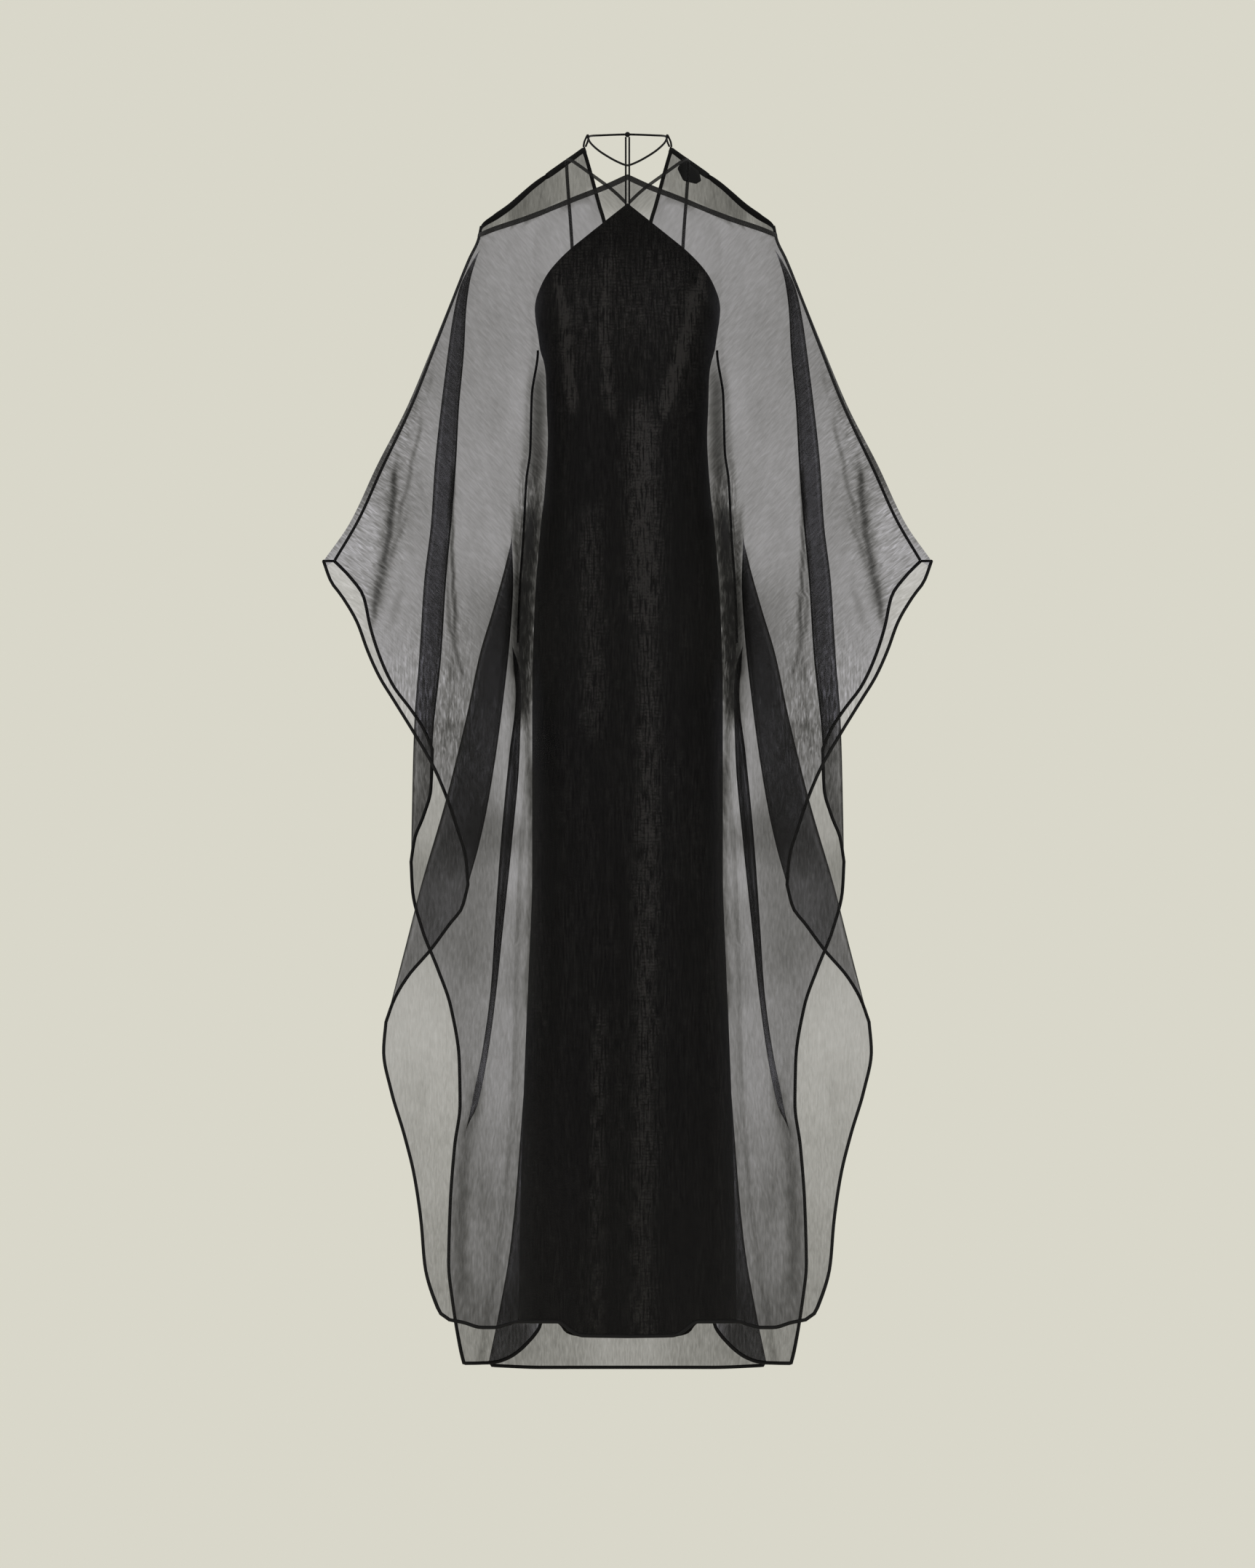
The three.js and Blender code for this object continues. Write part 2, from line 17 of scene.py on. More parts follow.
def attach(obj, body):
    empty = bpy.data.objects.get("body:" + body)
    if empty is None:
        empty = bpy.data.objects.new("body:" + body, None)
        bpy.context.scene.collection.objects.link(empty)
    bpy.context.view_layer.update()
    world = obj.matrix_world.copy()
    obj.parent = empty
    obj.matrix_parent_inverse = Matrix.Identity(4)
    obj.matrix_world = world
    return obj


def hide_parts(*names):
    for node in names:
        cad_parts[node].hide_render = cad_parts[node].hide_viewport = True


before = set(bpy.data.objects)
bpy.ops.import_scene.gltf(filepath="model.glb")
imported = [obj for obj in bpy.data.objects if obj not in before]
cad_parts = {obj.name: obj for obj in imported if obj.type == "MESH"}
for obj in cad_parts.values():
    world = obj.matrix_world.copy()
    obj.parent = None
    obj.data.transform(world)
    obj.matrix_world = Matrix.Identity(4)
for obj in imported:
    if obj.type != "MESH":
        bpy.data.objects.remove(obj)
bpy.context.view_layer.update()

MM = 0.001
print("nodes to dress:", sorted(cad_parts))

# %% [markdown]
# ## Words for places
# All sizes here are millimetres, as a pattern cutter writes them. A "drop" is a distance below the neck
# cord, a "reach" is a distance from the centre line, and a "bulge" is how far a panel stands away from
# the garment's middle plane: forwards on the front, backwards on the back. Curves through short tables
# give all three.

# %% Small tools
def smooth(start, end, value):
    """0 before start, 1 after end, and an even S between them."""
    t = np.clip((np.asarray(value, float) - start) / (end - start), 0, 1)
    return t * t * (3 - 2 * t)


def mix(a, b, t):
    return a + (b - a) * t


def curve(rows):
    """A smooth curve through [input, value] rows that never overshoots them."""
    x, y = np.array(rows, float).T
    step = np.diff(y) / np.diff(x)
    slope = np.zeros(len(x))
    slope[0], slope[-1] = step[0], step[-1]
    product = step[:-1] * step[1:]
    total = step[:-1] + step[1:]
    slope[1:-1] = np.where(product > 0, 2 * product / np.where(product > 0, total, 1), 0)

    def value(v):
        v = np.clip(np.asarray(v, float), x[0], x[-1])
        i = np.clip(np.searchsorted(x, v, side="right") - 1, 0, len(x) - 2)
        width = x[i + 1] - x[i]
        t = (v - x[i]) / width
        ends = (1 + 2 * t) * (1 - t) ** 2 * y[i] + t * t * (3 - 2 * t) * y[i + 1]
        return ends + t * (1 - t) * width * ((1 - t) * slope[i] - t * slope[i + 1])

    return value


# %% [markdown]
# ## The outline of the sleeves
# The sleeve's crest runs from the shoulder to a pointed tip. Front and back are stitched together at the
# body's sides from under the arm to a gather at the hip, and hang free below it.

# %% Driving sizes and outlines
FOLD_DEPTH = 8
TURN = 5
ARM_ROUND = 55
SLEEVE_TIP = 556
GATHER = 663
MEETING = 0.75
TOP_BINDING = 7
KEYHOLE_BINDING = 5
KEYHOLE_FOOT = 327
UNDERARM = 281

crest_reach = curve([
    [122, 193], [140, 197], [165, 209], [203, 225], [279, 256], [355, 288], [431, 327], [507, 363],
    [556, 397],
])
STITCH = [
    [122, 104], [165, 116], [203, 124], [240, 124], [281, 117], [341, 125], [412, 127], [450, 132],
    [526, 136], [583, 140], [GATHER, 143],
]
seam_wrap = curve([[122, 2], [241, 3], [355, 5], [431, 8], [507, 9], [556, 14]])
body_lobe = curve([[0, 1], [0.3, 0.97], [0.5, 0.9], [0.8, 0.66], [0.95, 0.36], [1, 0]])
sleeve_hill = curve([[0, 0], [0.06, 0.45], [0.2, 0.7], [0.45, 0.95], [0.65, 1], [1, 1]])

# %% [markdown]
# ## The two panels
# Each panel is a set of level sections. Where the real cloth is folded over on itself, a pleat's "far"
# turn is the one away from the centre and its "near" turn the one towards it. The free edge below the
# cuff may lie on the outer layer of the last pleat, on its middle layer or on its inner one, so the edge
# has three parts.

# %% Front panel sizes
front_hem_sag = curve([
    [0, 21], [60, 20], [74, 13], [90, 2], [140, 2], [160, 7], [173, 10], [190, 10], [214, 3.5], [232, 0],
])
front = dict(
    side=-1,
    top_corner=127,
    top_edge=curve([[0, 52], [27, 64.5], [69, 81], [97, 92.5], [135, 107], [173, 119.5], [193, 127]]),
    top_fade=330,
    inner_reach=lambda drop: 0.0,
    taper=lambda row: 1.0,
    centre=curve([
        [53, 62], [90, 86], [127, 103], [170, 120], [215, 128], [260, 124], [330, 114], [420, 108],
        [520, 113], [620, 121], [750, 124], [1000, 126], [1300, 132], [1569, 138],
    ]),
    side_reach=curve([*STITCH, [1569, 150]]),
    side_bulge=curve([
        [127, 60], [165, 62], [203, 52], [240, 32], [281, MEETING], [GATHER, MEETING], [700, 12],
        [760, 38], [900, 62], [1200, 82], [1569, 96],
    ]),
    mid_bulge=curve([[127, 55], [203, 55], [431, 49], [640, 46], [780, 58], [1000, 75], [1546, 92]]),
    rim_bulge=curve([[127, 55], [431, 49], [640, 32], [780, 42], [950, 55], [1158, 70], [1546, 88]]),
    rim_reach=curve([
        [556, 397], [602, 373], [674, 339], [780, 300], [950, 300], [1158, 320], [1400, 290], [1546, 262],
    ]),
    folds=[dict(
        far=curve([
            [300, 136], [412, 138], [450, 141], [503, 146], [564, 160], [621, 176], [678, 193],
            [754, 209], [868, 237], [982, 270], [1049, 287], [1158, 315],
        ]),
        near=curve([
            [300, 142], [412, 149], [450, 152], [503, 152], [583, 149], [640, 152], [754, 164],
            [868, 181], [925, 193], [979, 208],
        ]),
        starts=400, fade_in=110, ends=None, fade_out=0,
        hidden=curve([[400, 2.8], [850, 2.6], [930, 2.1], [985, 0.5], [1068, 0.9], [1158, 1.2]]),
        roundness=curve([[1040, 1], [1100, 0.6], [1145, 0.15], [1158, 0.05]]),
        dark_edges=(1.2, 0.5),
    )],
    edge=[
        (979, curve([
            [556, 397], [583, 387], [602, 373], [636, 353], [674, 339], [707, 324], [738, 305],
            [780, 279], [823, 254], [862, 237], [906, 222], [944, 211], [979, 208],
        ])),
        (1158, curve([
            [979, 208], [1009, 216], [1030, 232], [1064, 257], [1099, 287], [1130, 305], [1158, 315],
        ])),
        (9999, curve([
            [1158, 315], [1196, 318], [1248, 308], [1305, 291], [1358, 278], [1419, 269], [1476, 264],
            [1529, 248], [1541, 241], [1546, 232],
        ])),
    ],
    hem_fade=1400,
    hem=1546,
    hem_sag=lambda reach, folded: front_hem_sag(reach),
)

# %% Back panel sizes
flap_hem_rise = curve([
    [112.6, -58.4], [114.5, -49], [121, -38], [128.7, -29], [141, -17], [154, -8], [170, -2], [182, -0.5],
    [240, 0],
])
back = dict(
    side=1,
    top_corner=122,
    top_edge=curve([
        [0, 14.5], [55.5, 14.5], [56.5, 15], [72, 26], [90, 38.8], [121, 61], [154, 90], [173, 103.5],
        [188, 114], [193, 122],
    ]),
    top_fade=330,
    inner_reach=curve([[15, 55.6], [48, 46], [92, 34], [112, 28], [200, 15], [KEYHOLE_FOOT, 0]]),
    taper=curve([[122, 0.62], [160, 0.82], [215, 1]]),
    centre=curve([
        [15, 22], [48, 50], [92, 78], [130, 92], [200, 104], [270, 107], [330, 103], [450, 98],
        [560, 110], [640, 122], [720, 128], [800, 133], [1000, 140], [1300, 152], [1610, 172],
    ]),
    side_reach=curve([
        *STITCH, [700, 139], [726, 134], [811, 134], [925, 142], [1077, 148], [1229, 152], [1400, 165],
        [1610, 196],
    ]),
    side_bulge=curve([
        [122, 70], [165, 66], [203, 54], [240, 34], [281, MEETING], [GATHER, MEETING], [700, 12],
        [760, 42], [900, 76], [1200, 106], [1610, 136],
    ]),
    mid_bulge=curve([[122, 55], [203, 57], [431, 51], [640, 49], [780, 68], [1000, 92], [1610, 130]]),
    rim_bulge=curve([[122, 55], [431, 51], [640, 36], [780, 52], [950, 76], [1158, 92], [1610, 126]]),
    rim_reach=curve([
        [556, 397], [602, 358], [642, 340], [780, 290], [949, 290], [1158, 250], [1400, 240], [1606, 225],
    ]),
    folds=[
        dict(
            far=curve([
                [122, 84], [281, 96], [400, 106], [663, 122], [811, 124], [1060, 126], [1153, 131.6],
                [1229, 134.7], [1305, 140], [1381, 146], [1457, 154], [1533, 167], [1606, 182],
            ]),
            near=curve([
                [122, 84], [281, 96], [400, 106], [663, 122], [811, 126], [1060, 136], [1153, 131],
                [1229, 127], [1305, 124], [1457, 118], [1606, 112.6],
            ]),
            starts=1060, fade_in=90, ends=None, fade_out=0,
            hidden=curve([[1060, 1.1], [1400, 1.0], [1540, 0.8], [1560, -0.1], [1606, -0.1]]),
            thin_inside=curve([[1520, 100], [1545, 139], [1578, 130], [1606, 128]]),
            dark_edges=(0.8, 0.2),
        ),
        dict(
            far=curve([
                [122, 124], [203, 140], [412, 142], [600, 149], [663, 150], [690, 149], [726, 146],
                [811, 155], [925, 166], [1039, 174], [1115, 179], [1191, 189], [1267, 204], [1312, 211],
                [1400, 205], [1606, 202],
            ]),
            near=curve([
                [122, 128], [203, 145], [412, 148], [600, 155], [663, 152], [690, 143], [726, 139],
                [811, 141], [925, 151], [1039, 163], [1115, 171], [1191, 181], [1267, 196], [1312, 215],
                [1400, 207], [1606, 204],
            ]),
            starts=600, fade_in=90, ends=1320, fade_out=60,
            hidden=curve([
                [600, 2.6], [800, 3.6], [1040, 3.2], [1130, 1.6], [1190, 0.6], [1228, -0.3], [1255, -2.6],
                [1320, -4.5],
            ]),
            dark_edges=(0.8, 0.4),
        ),
        dict(
            far=curve([
                [122, 165], [150, 181], [175, 203], [203, 219], [241, 228], [279, 234], [355, 244],
                [431, 252], [507, 257], [583, 266], [678, 272], [773, 279], [887, 282], [949, 283],
            ]),
            near=curve([
                [122, 170], [150, 188], [175, 198], [203, 206], [241, 211], [279, 213], [355, 220],
                [431, 224], [507, 230], [583, 237], [678, 243], [773, 253], [802, 255],
            ]),
            starts=150, fade_in=50, ends=None, fade_out=0,
            hidden=curve([[150, 3.2], [300, 2.2], [700, 2.1], [800, 2.2], [949, 1.2]]),
            roundness=curve([[860, 1], [905, 0.6], [938, 0.15], [949, 0.05]]),
            dark_edges=(0.5, 2.0),
        ),
    ],
    edge=[
        (802, curve([
            [556, 383], [574, 365], [602, 345], [642, 336], [680, 324], [719, 306], [750, 283],
            [776, 266], [802, 255],
        ])),
        (949, curve([[802, 255], [854, 257], [890, 267], [918, 278], [949, 283]])),
        (9999, curve([
            [949, 283], [987, 281], [1039, 268], [1087, 249], [1139, 231], [1210, 220], [1267, 219],
            [1320, 226], [1400, 232], [1476, 234], [1524, 229], [1590, 218], [1606, 214],
        ])),
    ],
    hem_fade=1480,
    hem=1606,
    hem_sag=lambda reach, folded: np.where(
        folded, flap_hem_rise(reach), 2 + 4 * (1 - smooth(110, 215, reach))
    ),
)

# %% [markdown]
# ## One level section
# A section starts at the centre and runs outwards. At each pleat it goes round a turn, back towards the
# centre on the middle layer, round a second turn and on outwards. Where a pleat is absent its stations
# fall on one place, and they are welded later. The number of stations is the same in every section, so
# the rows make a grid.

# %% Sections
INNER_STATIONS = 44
SPAN_STATIONS = 34
TURN_STATIONS = 7
MIDDLE_STATIONS = 8
OUTER_STATIONS = 60
LEAST_BULGE = 0.3
CROWDING = 1.6  # how much the stations crowd towards the sleeve's crest
RIM_OPENS = 110  # drop below the sleeve tip in which the sleeve's round rim becomes a free edge
EDGE_OPENS = 80  # drop below the sleeve tip in which the pleats' layers part at that edge


def plain_bulge(panel, row, reach, drop):
    """How far the panel stands out, with its pleats pressed flat."""
    side = panel["side_reach"](row)
    valley = panel["side_bulge"](row)
    body = mix(valley, panel["centre"](drop), body_lobe(reach / side))
    rim = crest_reach(row) if row < SLEEVE_TIP else panel["rim_reach"](row)
    across = np.clip((reach - side) / (rim - side), 0, 1)
    hill = mix(valley, panel["mid_bulge"](row), sleeve_hill(across))
    hanging = mix(hill, panel["rim_bulge"](row), smooth(0.6, 1, across))
    t = np.clip((rim - reach) / ARM_ROUND, 0, 1)
    over_arm = np.sqrt(1 - (1 - t) ** 2)
    closed = 1 - smooth(SLEEVE_TIP, SLEEVE_TIP + RIM_OPENS, row)
    sleeve = hanging * mix(1, over_arm, closed)
    return panel["taper"](row) * np.where(reach <= side, body, sleeve)


def pleat_amount(fold, row):
    """How far a pleat is folded over in one section, from 0 to 1."""
    amount = smooth(fold["starts"], fold["starts"] + fold["fade_in"], row)
    if fold["fade_out"]:
        amount = amount * (1 - smooth(fold["ends"] - fold["fade_out"], fold["ends"], row))
    return float(amount)


def section(panel, row):
    """Points of one section as an array of [x, y, z], for the wearer's left side."""
    fade_top = 1 - smooth(panel["top_corner"], panel["top_fade"], row)
    fade_hem = smooth(panel["hem_fade"], panel["hem"], row)
    sleeved = row < SLEEVE_TIP
    corner = crest_reach(row) if sleeved else panel["rim_reach"](row)
    reaches, steps = [], []

    def add(reach, step):
        reaches.append(reach)
        steps.append(np.broadcast_to(np.asarray(step, float), reach.shape))

    def repeat_last(times):
        add(np.full(times, reaches[-1][-1]), steps[-1][-1])

    def drop_at(reach, folded):
        rise = panel["top_corner"] - panel["top_edge"](reach / corner * crest_reach(panel["top_corner"]))
        return row - rise * fade_top + panel["hem_sag"](reach, folded) * fade_hem

    edge_part = 0 if sleeved else next(i for i, (up_to, _) in enumerate(panel["edge"]) if row < up_to)
    seam = crest_reach(row) - (seam_wrap(row) if panel is back else 0)
    edge = seam if sleeved else panel["edge"][edge_part][1](row)
    start = float(panel["inner_reach"](drop_at(np.zeros(1), False)[0]))
    step = 0.0
    pleat_stations = 2 * TURN_STATIONS + MIDDLE_STATIONS
    for index, fold in enumerate(panel["folds"]):
        outermost = index == len(panel["folds"]) - 1
        amount = pleat_amount(fold, row)
        far, near = float(fold["far"](row)), float(fold["near"](row))
        edge_before = outermost and edge_part == 2
        edge_within = outermost and edge_part == 1
        radius = TURN * float(fold["roundness"](row)) if "roundness" in fold else TURN
        target = edge if edge_before else far - radius if amount > 0 else (far + near) / 2
        count = INNER_STATIONS if index == 0 else SPAN_STATIONS
        add(mix(start, target, np.linspace(0, 1, count)), step)
        start = target
        if edge_before or amount == 0:
            repeat_last(pleat_stations)
            continue
        # A full turn doubles back by its radius, and a ripple runs straight on.
        depth = FOLD_DEPTH * amount
        full = np.clip((far - near) / (2 * radius), -1, 1)
        turn = radius * full
        angle = np.linspace(0, math.pi, TURN_STATIONS + 1)[1:]
        run_on = (radius - turn) * angle / math.pi
        swing = radius * (1 + full) / 2 * np.sin(angle)
        drop_in = depth / 2 * (1 - np.cos(angle))
        add(far - radius + run_on + swing, step + drop_in)
        inner = min(edge, far - turn) if edge_within else near + turn
        add(mix(far - turn, inner, np.linspace(0, 1, MIDDLE_STATIONS + 1)[1:]), step + depth)
        if edge_within:
            repeat_last(TURN_STATIONS)
            start = inner
            continue
        add(near + turn + run_on - swing, step + depth + drop_in)
        step += 2 * depth
        start = near + radius
    if edge_part > 0:
        repeat_last(OUTER_STATIONS)
    else:
        part = np.linspace(0, 1, OUTER_STATIONS + 1)[1:]
        part = 1 - (1 - part) ** CROWDING
        reach = mix(start, edge, part)
        towards_crest = np.clip((reach - start) / (crest_reach(row) - start), 0, 1) ** 2
        fade = 1 - towards_crest * (1 - smooth(SLEEVE_TIP, SLEEVE_TIP + EDGE_OPENS, row))
        add(reach, step * fade)

    reach, step = np.concatenate(reaches), np.concatenate(steps)
    drop = drop_at(reach, step > 0)
    plain = plain_bulge(panel, row, reach, drop)
    bulge = np.maximum(plain - step, LEAST_BULGE * plain)
    return np.stack([reach, panel["side"] * bulge, -drop], axis=1)


WRAP_STATIONS = 6
WRAP_SHARE = 0.97


def front_section(row):
    """The front runs on over the crest to the overarm seam, just short of the back panel's edge."""
    points = section(front, row)
    crest = points[-1]
    if row > SLEEVE_TIP:
        return np.vstack([points, np.repeat(crest[None], WRAP_STATIONS, axis=0)])
    seam = section(back, row)[-1]
    t = np.linspace(0, 1, WRAP_STATIONS + 1)[1:, None] * WRAP_SHARE
    wrap = mix(crest, seam, t)
    wrap[:, 0] = mix(crest[0], seam[0], t[:, 0] ** 2)
    return np.vstack([points, wrap])


ROW_STEP = 8


def row_list(panel):
    """Drops of the sections: evenly spaced, with the edge's corners and the sleeve tip among them."""
    fixed = [panel["top_corner"], SLEEVE_TIP, panel["edge"][0][0], panel["edge"][1][0], panel["hem"]]
    rows = []
    for a, b in zip(fixed[:-1], fixed[1:]):
        rows += list(np.linspace(a, b, max(2, round((b - a) / ROW_STEP)), endpoint=False))
    return rows + [fixed[-1]]


front_rows = row_list(front)
back_rows = row_list(back)
front_grid = np.array([front_section(row) for row in front_rows])
back_grid = np.array([section(back, row) for row in back_rows])
print("front sections and stations:", front_grid.shape[:2], "back:", back_grid.shape[:2])


GATHERED = 1.2
EMPTY = -1.5
DARK_STATIONS = 4


def hidden_layers(panel, rows, grid):
    """Extra density of the layer that each pleat hides, and of its two turns, which are seen edge on."""
    extra = np.zeros(grid.shape[:2])
    first = INNER_STATIONS
    for fold in panel["folds"]:
        middle, last = first + TURN_STATIONS, first + TURN_STATIONS + MIDDLE_STATIONS
        for i, row in enumerate(rows):
            overlap = float(fold["far"](row) - fold["near"](row))
            shut = pleat_amount(fold, row) * smooth(0, 2 * TURN, overlap)
            hidden = float(fold["hidden"](row)) * shut
            extra[i, first:last + TURN_STATIONS] = 0.5 * hidden
            extra[i, middle:last] = hidden
            gathered = float(np.clip(fold["hidden"](row) / GATHERED, 0, 1))
            for at, dark in zip((first, last), fold["dark_edges"]):
                extra[i, at + 1:at + 1 + DARK_STATIONS] += dark * shut * gathered
            if "thin_inside" in fold:
                under = slice(middle, last + TURN_STATIONS)
                inside = 1 - smooth(-4, 4, grid[i, under, 0] - fold["thin_inside"](row))
                extra[i, under] = mix(extra[i, under], EMPTY, inside)
        first += 2 * TURN_STATIONS + MIDDLE_STATIONS + SPAN_STATIONS
    return extra


front_extra = hidden_layers(front, front_rows, front_grid)
back_extra = hidden_layers(back, back_rows, back_grid)
# Where the front wraps behind the arm's crest it is gathered on the upper arm, and flat near the tip.
sleeved_rows = np.array(front_rows) < SLEEVE_TIP
wrapped = mix(1.2, -0.1, smooth(430, 500, -front_grid[sleeved_rows, -WRAP_STATIONS:, 2]))
front_extra[sleeved_rows, -WRAP_STATIONS:] += wrapped

# %% [markdown]
# ## Creases
# Besides the pleats there are soft creases that fade in and out. Each is a line of places on one panel,
# with a width, a depth and an extra density that darkens it: partly the thread that gathers in the
# crease, partly painted shade. The cloth is pushed in along the line.

# %% Soft creases, [reach, drop]
BESIDE_THE_SLIP = [
    ([[115, 285], [117, 430], [120, 500], [124, 575]], 10.5, 0.4, 0.9),
    ([[125, 470], [130, 560], [135, 640], [138, 710], [140, 785]], 11.5, 0.4, 1.75),
]
FRONT_CREASES = [
    # line, half-width, depth, extra density
    ([[150, 470], [146, 530], [143, 590], [143, 655]], 3.0, 1.5, 1.6),
    ([[136, 690], [132, 750], [128, 830], [126, 900]], 4.0, 1.5, 1.1),
    ([[127, 800], [124, 860], [125, 960], [126, 1060], [130, 1160]], 4.5, 0.5, 1.8),
    *BESIDE_THE_SLIP,
    ([[150, 690], [146, 760], [143, 840], [140, 930]], 4.0, -1.5, -0.4),
    ([[210, 1190], [196, 1290], [185, 1400], [180, 1500]], 9.0, 2.0, 0.35),
    ([[262, 1215], [268, 1250], [266, 1290]], 5.0, 1.0, 0.3),
]
BACK_CREASES = [
    ([[300, 405], [304, 439], [308, 491], [315, 540], [327, 600], [337, 655]], 3.2, 2.5, 2.1),
    # A broad band of painted shade beside the sleeve's main crease.
    ([[303, 420], [309, 480], [315, 530], [323, 575], [334, 645]], 9.0, 3.0, 1.3),
    ([[270, 350], [270, 375], [279, 413], [287, 455], [297, 494], [300, 530]], 2.8, 1.5, 1.1),
    ([[283, 470], [298, 523], [308, 546], [318, 590]], 3.5, 1.5, 0.9),
    ([[288, 560], [300, 610], [318, 660]], 5.0, 1.5, 0.5),
    ([[256, 298], [257, 317], [260, 336], [266, 350]], 3.0, 1.0, 0.5),
    ([[272, 300], [276, 340], [280, 380]], 2.5, 1.0, 0.5),
    ([[226, 425], [229, 480], [229.5, 530], [228, 581], [225.5, 623], [224, 672]], 2.2, 1.5, 3.0),
    ([[236, 520], [236, 560], [234, 620], [231, 665]], 2.0, 1.0, 1.7),
    ([[238, 610], [230, 650], [219, 690], [210, 735]], 2.6, 1.0, 1.8),
    ([[229, 665], [229, 700], [230, 740]], 6.0, 1.8, 0.9),
    ([[190, 1215], [199, 1267], [211, 1312], [216, 1380], [218, 1450], [215, 1530]], 8.0, 2.0, 1.3),
    ([[150, 1010], [152, 1080], [156, 1160]], 6.0, 1.5, 0.4),
    ([[120, 740], [116, 800], [117, 870]], 3.0, 1.2, 0.6),
    ([[148, 735], [152, 790], [155, 840]], 4.0, 1.0, 1.2),
    *BESIDE_THE_SLIP,
]


def near_line(reach, drop, line, half_width):
    """How near each place is to a crease: 1 on it, 0 well beside it and past its ends."""
    top, foot = line[0][1], line[-1][1]
    middle = curve([[d, r] for r, d in line])
    waver = min(0.25 * half_width, 0.9) * (np.sin(drop / 8.5 + top) + 0.6 * np.sin(drop / 4.3))
    across = (reach - middle(drop) + waver) / half_width
    fade = min(45.0, 0.45 * (foot - top))
    ends = smooth(top, top + fade, drop) * (1 - smooth(foot - fade, foot, drop))
    return np.exp(-(across**2)) * ends


def press_creases(grid, side, creases):
    """Pushes the cloth in along its creases and returns their extra density, gathered thread and painted
    shade.
    """
    reach, drop = grid[..., 0], -grid[..., 2]
    extra = np.zeros(reach.shape)
    for line, half_width, depth, density in creases:
        near = near_line(reach, drop, line, half_width)
        room = np.abs(grid[..., 1])
        grid[..., 1] -= side * near * np.minimum(depth, 0.5 * room)
        extra += density * near
    return extra


front_extra += press_creases(front_grid, front["side"], FRONT_CREASES)
back_extra += press_creases(back_grid, back["side"], BACK_CREASES)

# %% [markdown]
# ## From sections to cloth
# Blender wants one list of points and one list of faces. The mirrored half is the same grid with x
# turned over. Points that fall together become one point, so the centre line has no seam and absent
# pleats leave nothing. Each point also carries numbers for the material: its place in the cloth, how
# densely the threads lie there, and how strongly each kind of crinkle shows.

# %% Weld grids into one mesh
def weld(grids):
    """Joins grids (rows, stations, 3) into unique points and quads, with each point's first grid place."""
    points = np.concatenate([grid.reshape(-1, 3) for grid, _ in grids])
    # Points within a thousandth of a millimetre are the same place.
    keys = np.round(points * 1000).astype(np.int64)
    _, first, place = np.unique(keys, axis=0, return_index=True, return_inverse=True)
    place = place.reshape(-1)
    faces, offset = [], 0
    for grid, flip in grids:
        count, width = grid.shape[:2]
        index = place[offset:offset + count * width].reshape(count, width)
        quads = np.stack([index[:-1, :-1], index[:-1, 1:], index[1:, 1:], index[1:, :-1]], axis=-1)
        quads = quads.reshape(-1, 4)
        faces.append(quads[:, ::-1] if flip else quads)
        offset += count * width
    clean = []
    for quad in np.concatenate(faces).tolist():
        corners = [v for k, v in enumerate(quad) if v != quad[k - 1]]
        if len(corners) > 2 and len(set(corners)) == len(corners):
            clean.append(corners)
    return points[first], clean, first


def new_piece(name, points, faces, material=None):
    """A mesh object at the origin from points in millimetres."""
    mesh = bpy.data.meshes.new(name)
    mesh.from_pydata((np.asarray(points, float) * MM).tolist(), [], faces)
    mesh.update()
    mesh.shade_smooth()
    piece = bpy.data.objects.new(name, mesh)
    bpy.context.scene.collection.objects.link(piece)
    if material is not None:
        mesh.materials.append(material)
    return piece


def mirrored(points):
    return np.asarray(points, float) * np.array([-1, 1, 1])


def set_number(piece, name, values):
    """Stores one number at every point of the piece, for its material to read."""
    layer = piece.data.attributes.new(name, "FLOAT", "POINT")
    layer.data.foreach_set("value", np.asarray(values, np.float32))


def set_uv(piece, across, along):
    """Stores a place in the flat cloth, in metres, at every corner of every face."""
    layer = piece.data.uv_layers.new(name="cloth")
    corner = np.empty(len(piece.data.loops), np.int32)
    piece.data.loops.foreach_get("vertex_index", corner)
    flat = np.stack([across[corner], along[corner]], axis=1)
    layer.data.foreach_set("uv", flat.astype(np.float32).ravel())


# %% [markdown]
# ## How dense the cloth looks
# Organza is crinkled, so where it is gathered or hangs in close folds more threads lie in front of each
# other. A table of places gives that density for each panel: 1 is flat cloth. Between the places it
# blends. Many places are the same on both panels, because the two hang close together there. Cloth that
# turns away from the front is also seen through more thread. On the back yoke the density also paints in
# the shade inside the back of the neck.

# %% Density of the sheer cloth
SHARED_DENSITY = [
    # place, reach, drop, density
    ("inner upper sleeve", 183, 235, 0.92),
    ("upper sleeve", 220, 300, 1.08),
    ("upper arm", 175, 240, 1.12),
    ("beside the slip", 133, 355, 0.7),
    ("by the inner pleat", 175, 355, 0.95),
    ("middle sleeve", 290, 490, 1.05),
    ("inner sleeve", 185, 440, 0.86),
    ("inner elbow", 194, 530, 0.86),
    ("outer sleeve", 350, 510, 0.68),
    ("sleeve's lower edge", 287, 750, 0.7),
    ("side above the gather", 150, 500, 0.9),
    ("gather", 150, 640, 1.5),
    ("hip", 200, 740, 1.2),
    ("between the pleats", 232, 790, 1.68),
    ("under the outer pleat", 246, 820, 1.42),
    ("inner hip", 133, 773, 0.62),
    ("inner thigh", 139, 868, 0.74),
    ("thigh", 173, 916, 1.9),
    ("inner knee", 143, 963, 0.7),
    ("knee", 190, 1001, 1.42),
    ("calf", 200, 1058, 1.65),
    ("inner calf", 150, 1058, 0.95),
    ("shin", 211, 1153, 1.25),
    ("inner shin", 152, 1153, 0.95),
    ("inner ankle", 162, 1248, 1.0),
    ("ankle", 173, 1343, 1.2),
    ("by the back panel's edge", 212, 1390, 1.5),
    ("above the hem", 189, 1438, 1.35),
]
